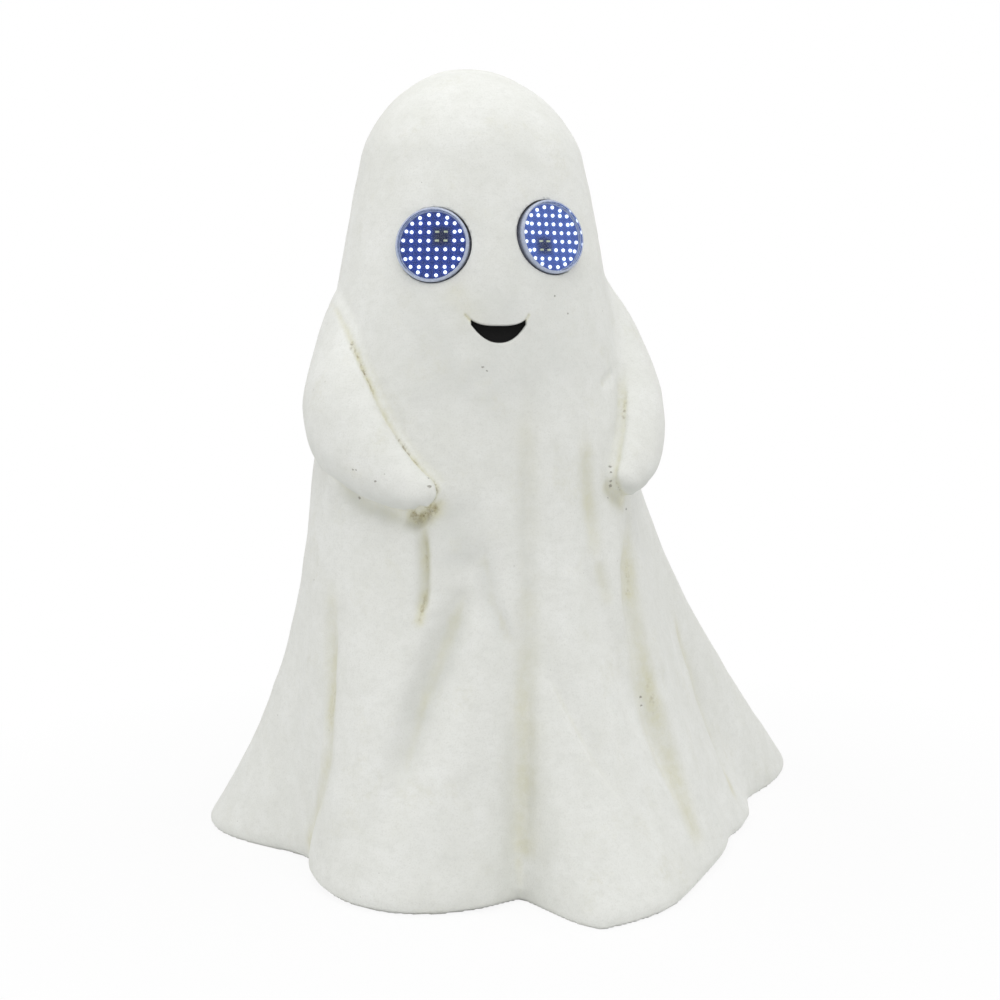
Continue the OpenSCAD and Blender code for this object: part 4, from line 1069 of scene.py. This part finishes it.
softened("base_plate_moulded", "base_plate", 0.5, "figure", BASE_PLASTIC)
softened("battery_door_moulded", "battery_door", 0.35, "battery_door", BASE_PLASTIC)
softened("switch_knob_moulded", "switch_knob", 0.3, "switch_knob",
         plastic_finish("switch_plastic", srgb(20, 20, 21), srgb(32, 32, 33), 0.45, 1500.0))
head_z = PLATE_Z + BASE_SCREW["head_h"]
spots = [AXIS + around(hollow_r(a, PLATE_TOP) - POST_INSET, a, head_z) for a in POST_ANGLES]
dressed(screws("base_screws_cross_head", spots, BASE_SCREW, 2), "base_screws", "figure", STEEL)
spot = joint_place("door_screw_turn") + [0, 0, PLATE_Z]
p, f = box((GRIP_L, GRIP_W, GRIP_H + GRIP_SINK), -GRIP_H)
rows = [spot - [0, GRIP_FROM_SCREW + GRIP_PITCH * n, 0] for n in range(GRIP_COUNT)]
points, faces = joined([(p + row, f) for row in rows])
grip = mesh_object("battery_door_grip", points * MM, faces, smooth=False)
rounded(grip, GRIP_ROUND)
dressed(grip, "battery_door", "battery_door", BASE_PLASTIC)
dressed(screws("door_screw_slotted", [spot], DOOR_SCREW, 1), "door_screw", "door_screw", STEEL)

# Floor, world, lights and camera, in metres. The floor shades a little near the figure and is white beyond.
FLOOR_X, FLOOR_NEAR, FLOOR_FAR = 6, -3, 9
SHADE_IN, SHADE_OUT, SHADE_WHITE = 0.18, 0.4, 0.88
FILL_STRENGTH = 0.50
CAMERA_FROM_AXIS, CAMERA_Z, CAMERA_AIM = (-0.1250, -0.8378), 0.263, (0.1624, 0.9809, -0.1075)
corners = [(-FLOOR_X, FLOOR_NEAR, 0), (FLOOR_X, FLOOR_NEAR, 0),
           (FLOOR_X, FLOOR_FAR, 0), (-FLOOR_X, FLOOR_FAR, 0)]
floor = mesh_object("floor", corners, [(0, 1, 2, 3)], smooth=False)
f = Finish("white_floor")
shaded = f.add("ShaderNodeBsdfDiffuse", {"Color": (0.9, 0.9, 0.9)}).outputs[0]
white = f.add("ShaderNodeEmission", {"Color": (1, 1, 1), "Strength": 1.0}).outputs[0]
away = f.add("ShaderNodeVectorMath", {0: f.place}, operation="LENGTH").outputs["Value"]
share = f.times(f.seen(), f.fit(away, SHADE_IN, SHADE_OUT, SHADE_WHITE, 1.0))
mixed = f.add("ShaderNodeMixShader", {0: share, 1: shaded, 2: white}).outputs[0]
floor.data.materials.append(f.done(mixed))

f = Finish("white_room", bpy.data.worlds, "ShaderNodeOutputWorld")
fill = f.add("ShaderNodeBackground", {"Color": (1, 1, 1), "Strength": FILL_STRENGTH}).outputs[0]
back = f.add("ShaderNodeBackground", {"Color": (1, 1, 1), "Strength": 1.0}).outputs[0]
bpy.context.scene.world = f.done(f.add("ShaderNodeMixShader", {0: f.seen(), 1: fill, 2: back}).outputs[0])


def area_light(name, place, target, size, power):
    data = bpy.data.lights.new(name, "AREA")
    data.shape = "RECTANGLE"
    data.size, data.size_y = size
    data.energy = power
    light = added(name, data)
    light.location = place
    light.rotation_mode = "QUATERNION"
    light.rotation_quaternion = (Vector(target) - Vector(place)).to_track_quat("-Z", "Y")


area_light("top", (-0.05, -0.38, 1.28), (-0.03, 0.0, 0.15), (1.0, 1.0), 7.0)
area_light("left", (-1.2, 0.15, 0.7), (-0.03, 0.0, 0.2), (0.9, 1.2), 3.2)
area_light("right", (1.2, 0.15, 0.7), (-0.03, 0.0, 0.2), (0.9, 1.2), 3.0)
area_light("low", (-0.1, -1.3, 0.12), (-0.03, 0.0, 0.03), (1.6, 0.2), 1.6)

camera = added("camera", bpy.data.cameras.new("camera"))
camera.data.sensor_width = 36.0
camera.data.lens = 62.0
camera.location = (*(AXIS[:2] * MM + CAMERA_FROM_AXIS), CAMERA_Z)
camera.rotation_mode = "QUATERNION"
camera.rotation_quaternion = Vector(CAMERA_AIM).to_track_quat("-Z", "Y")
camera.data.clip_start, camera.data.clip_end = 0.01, 100
bpy.context.scene.camera = camera
bpy.context.scene.view_settings.view_transform = "Standard"
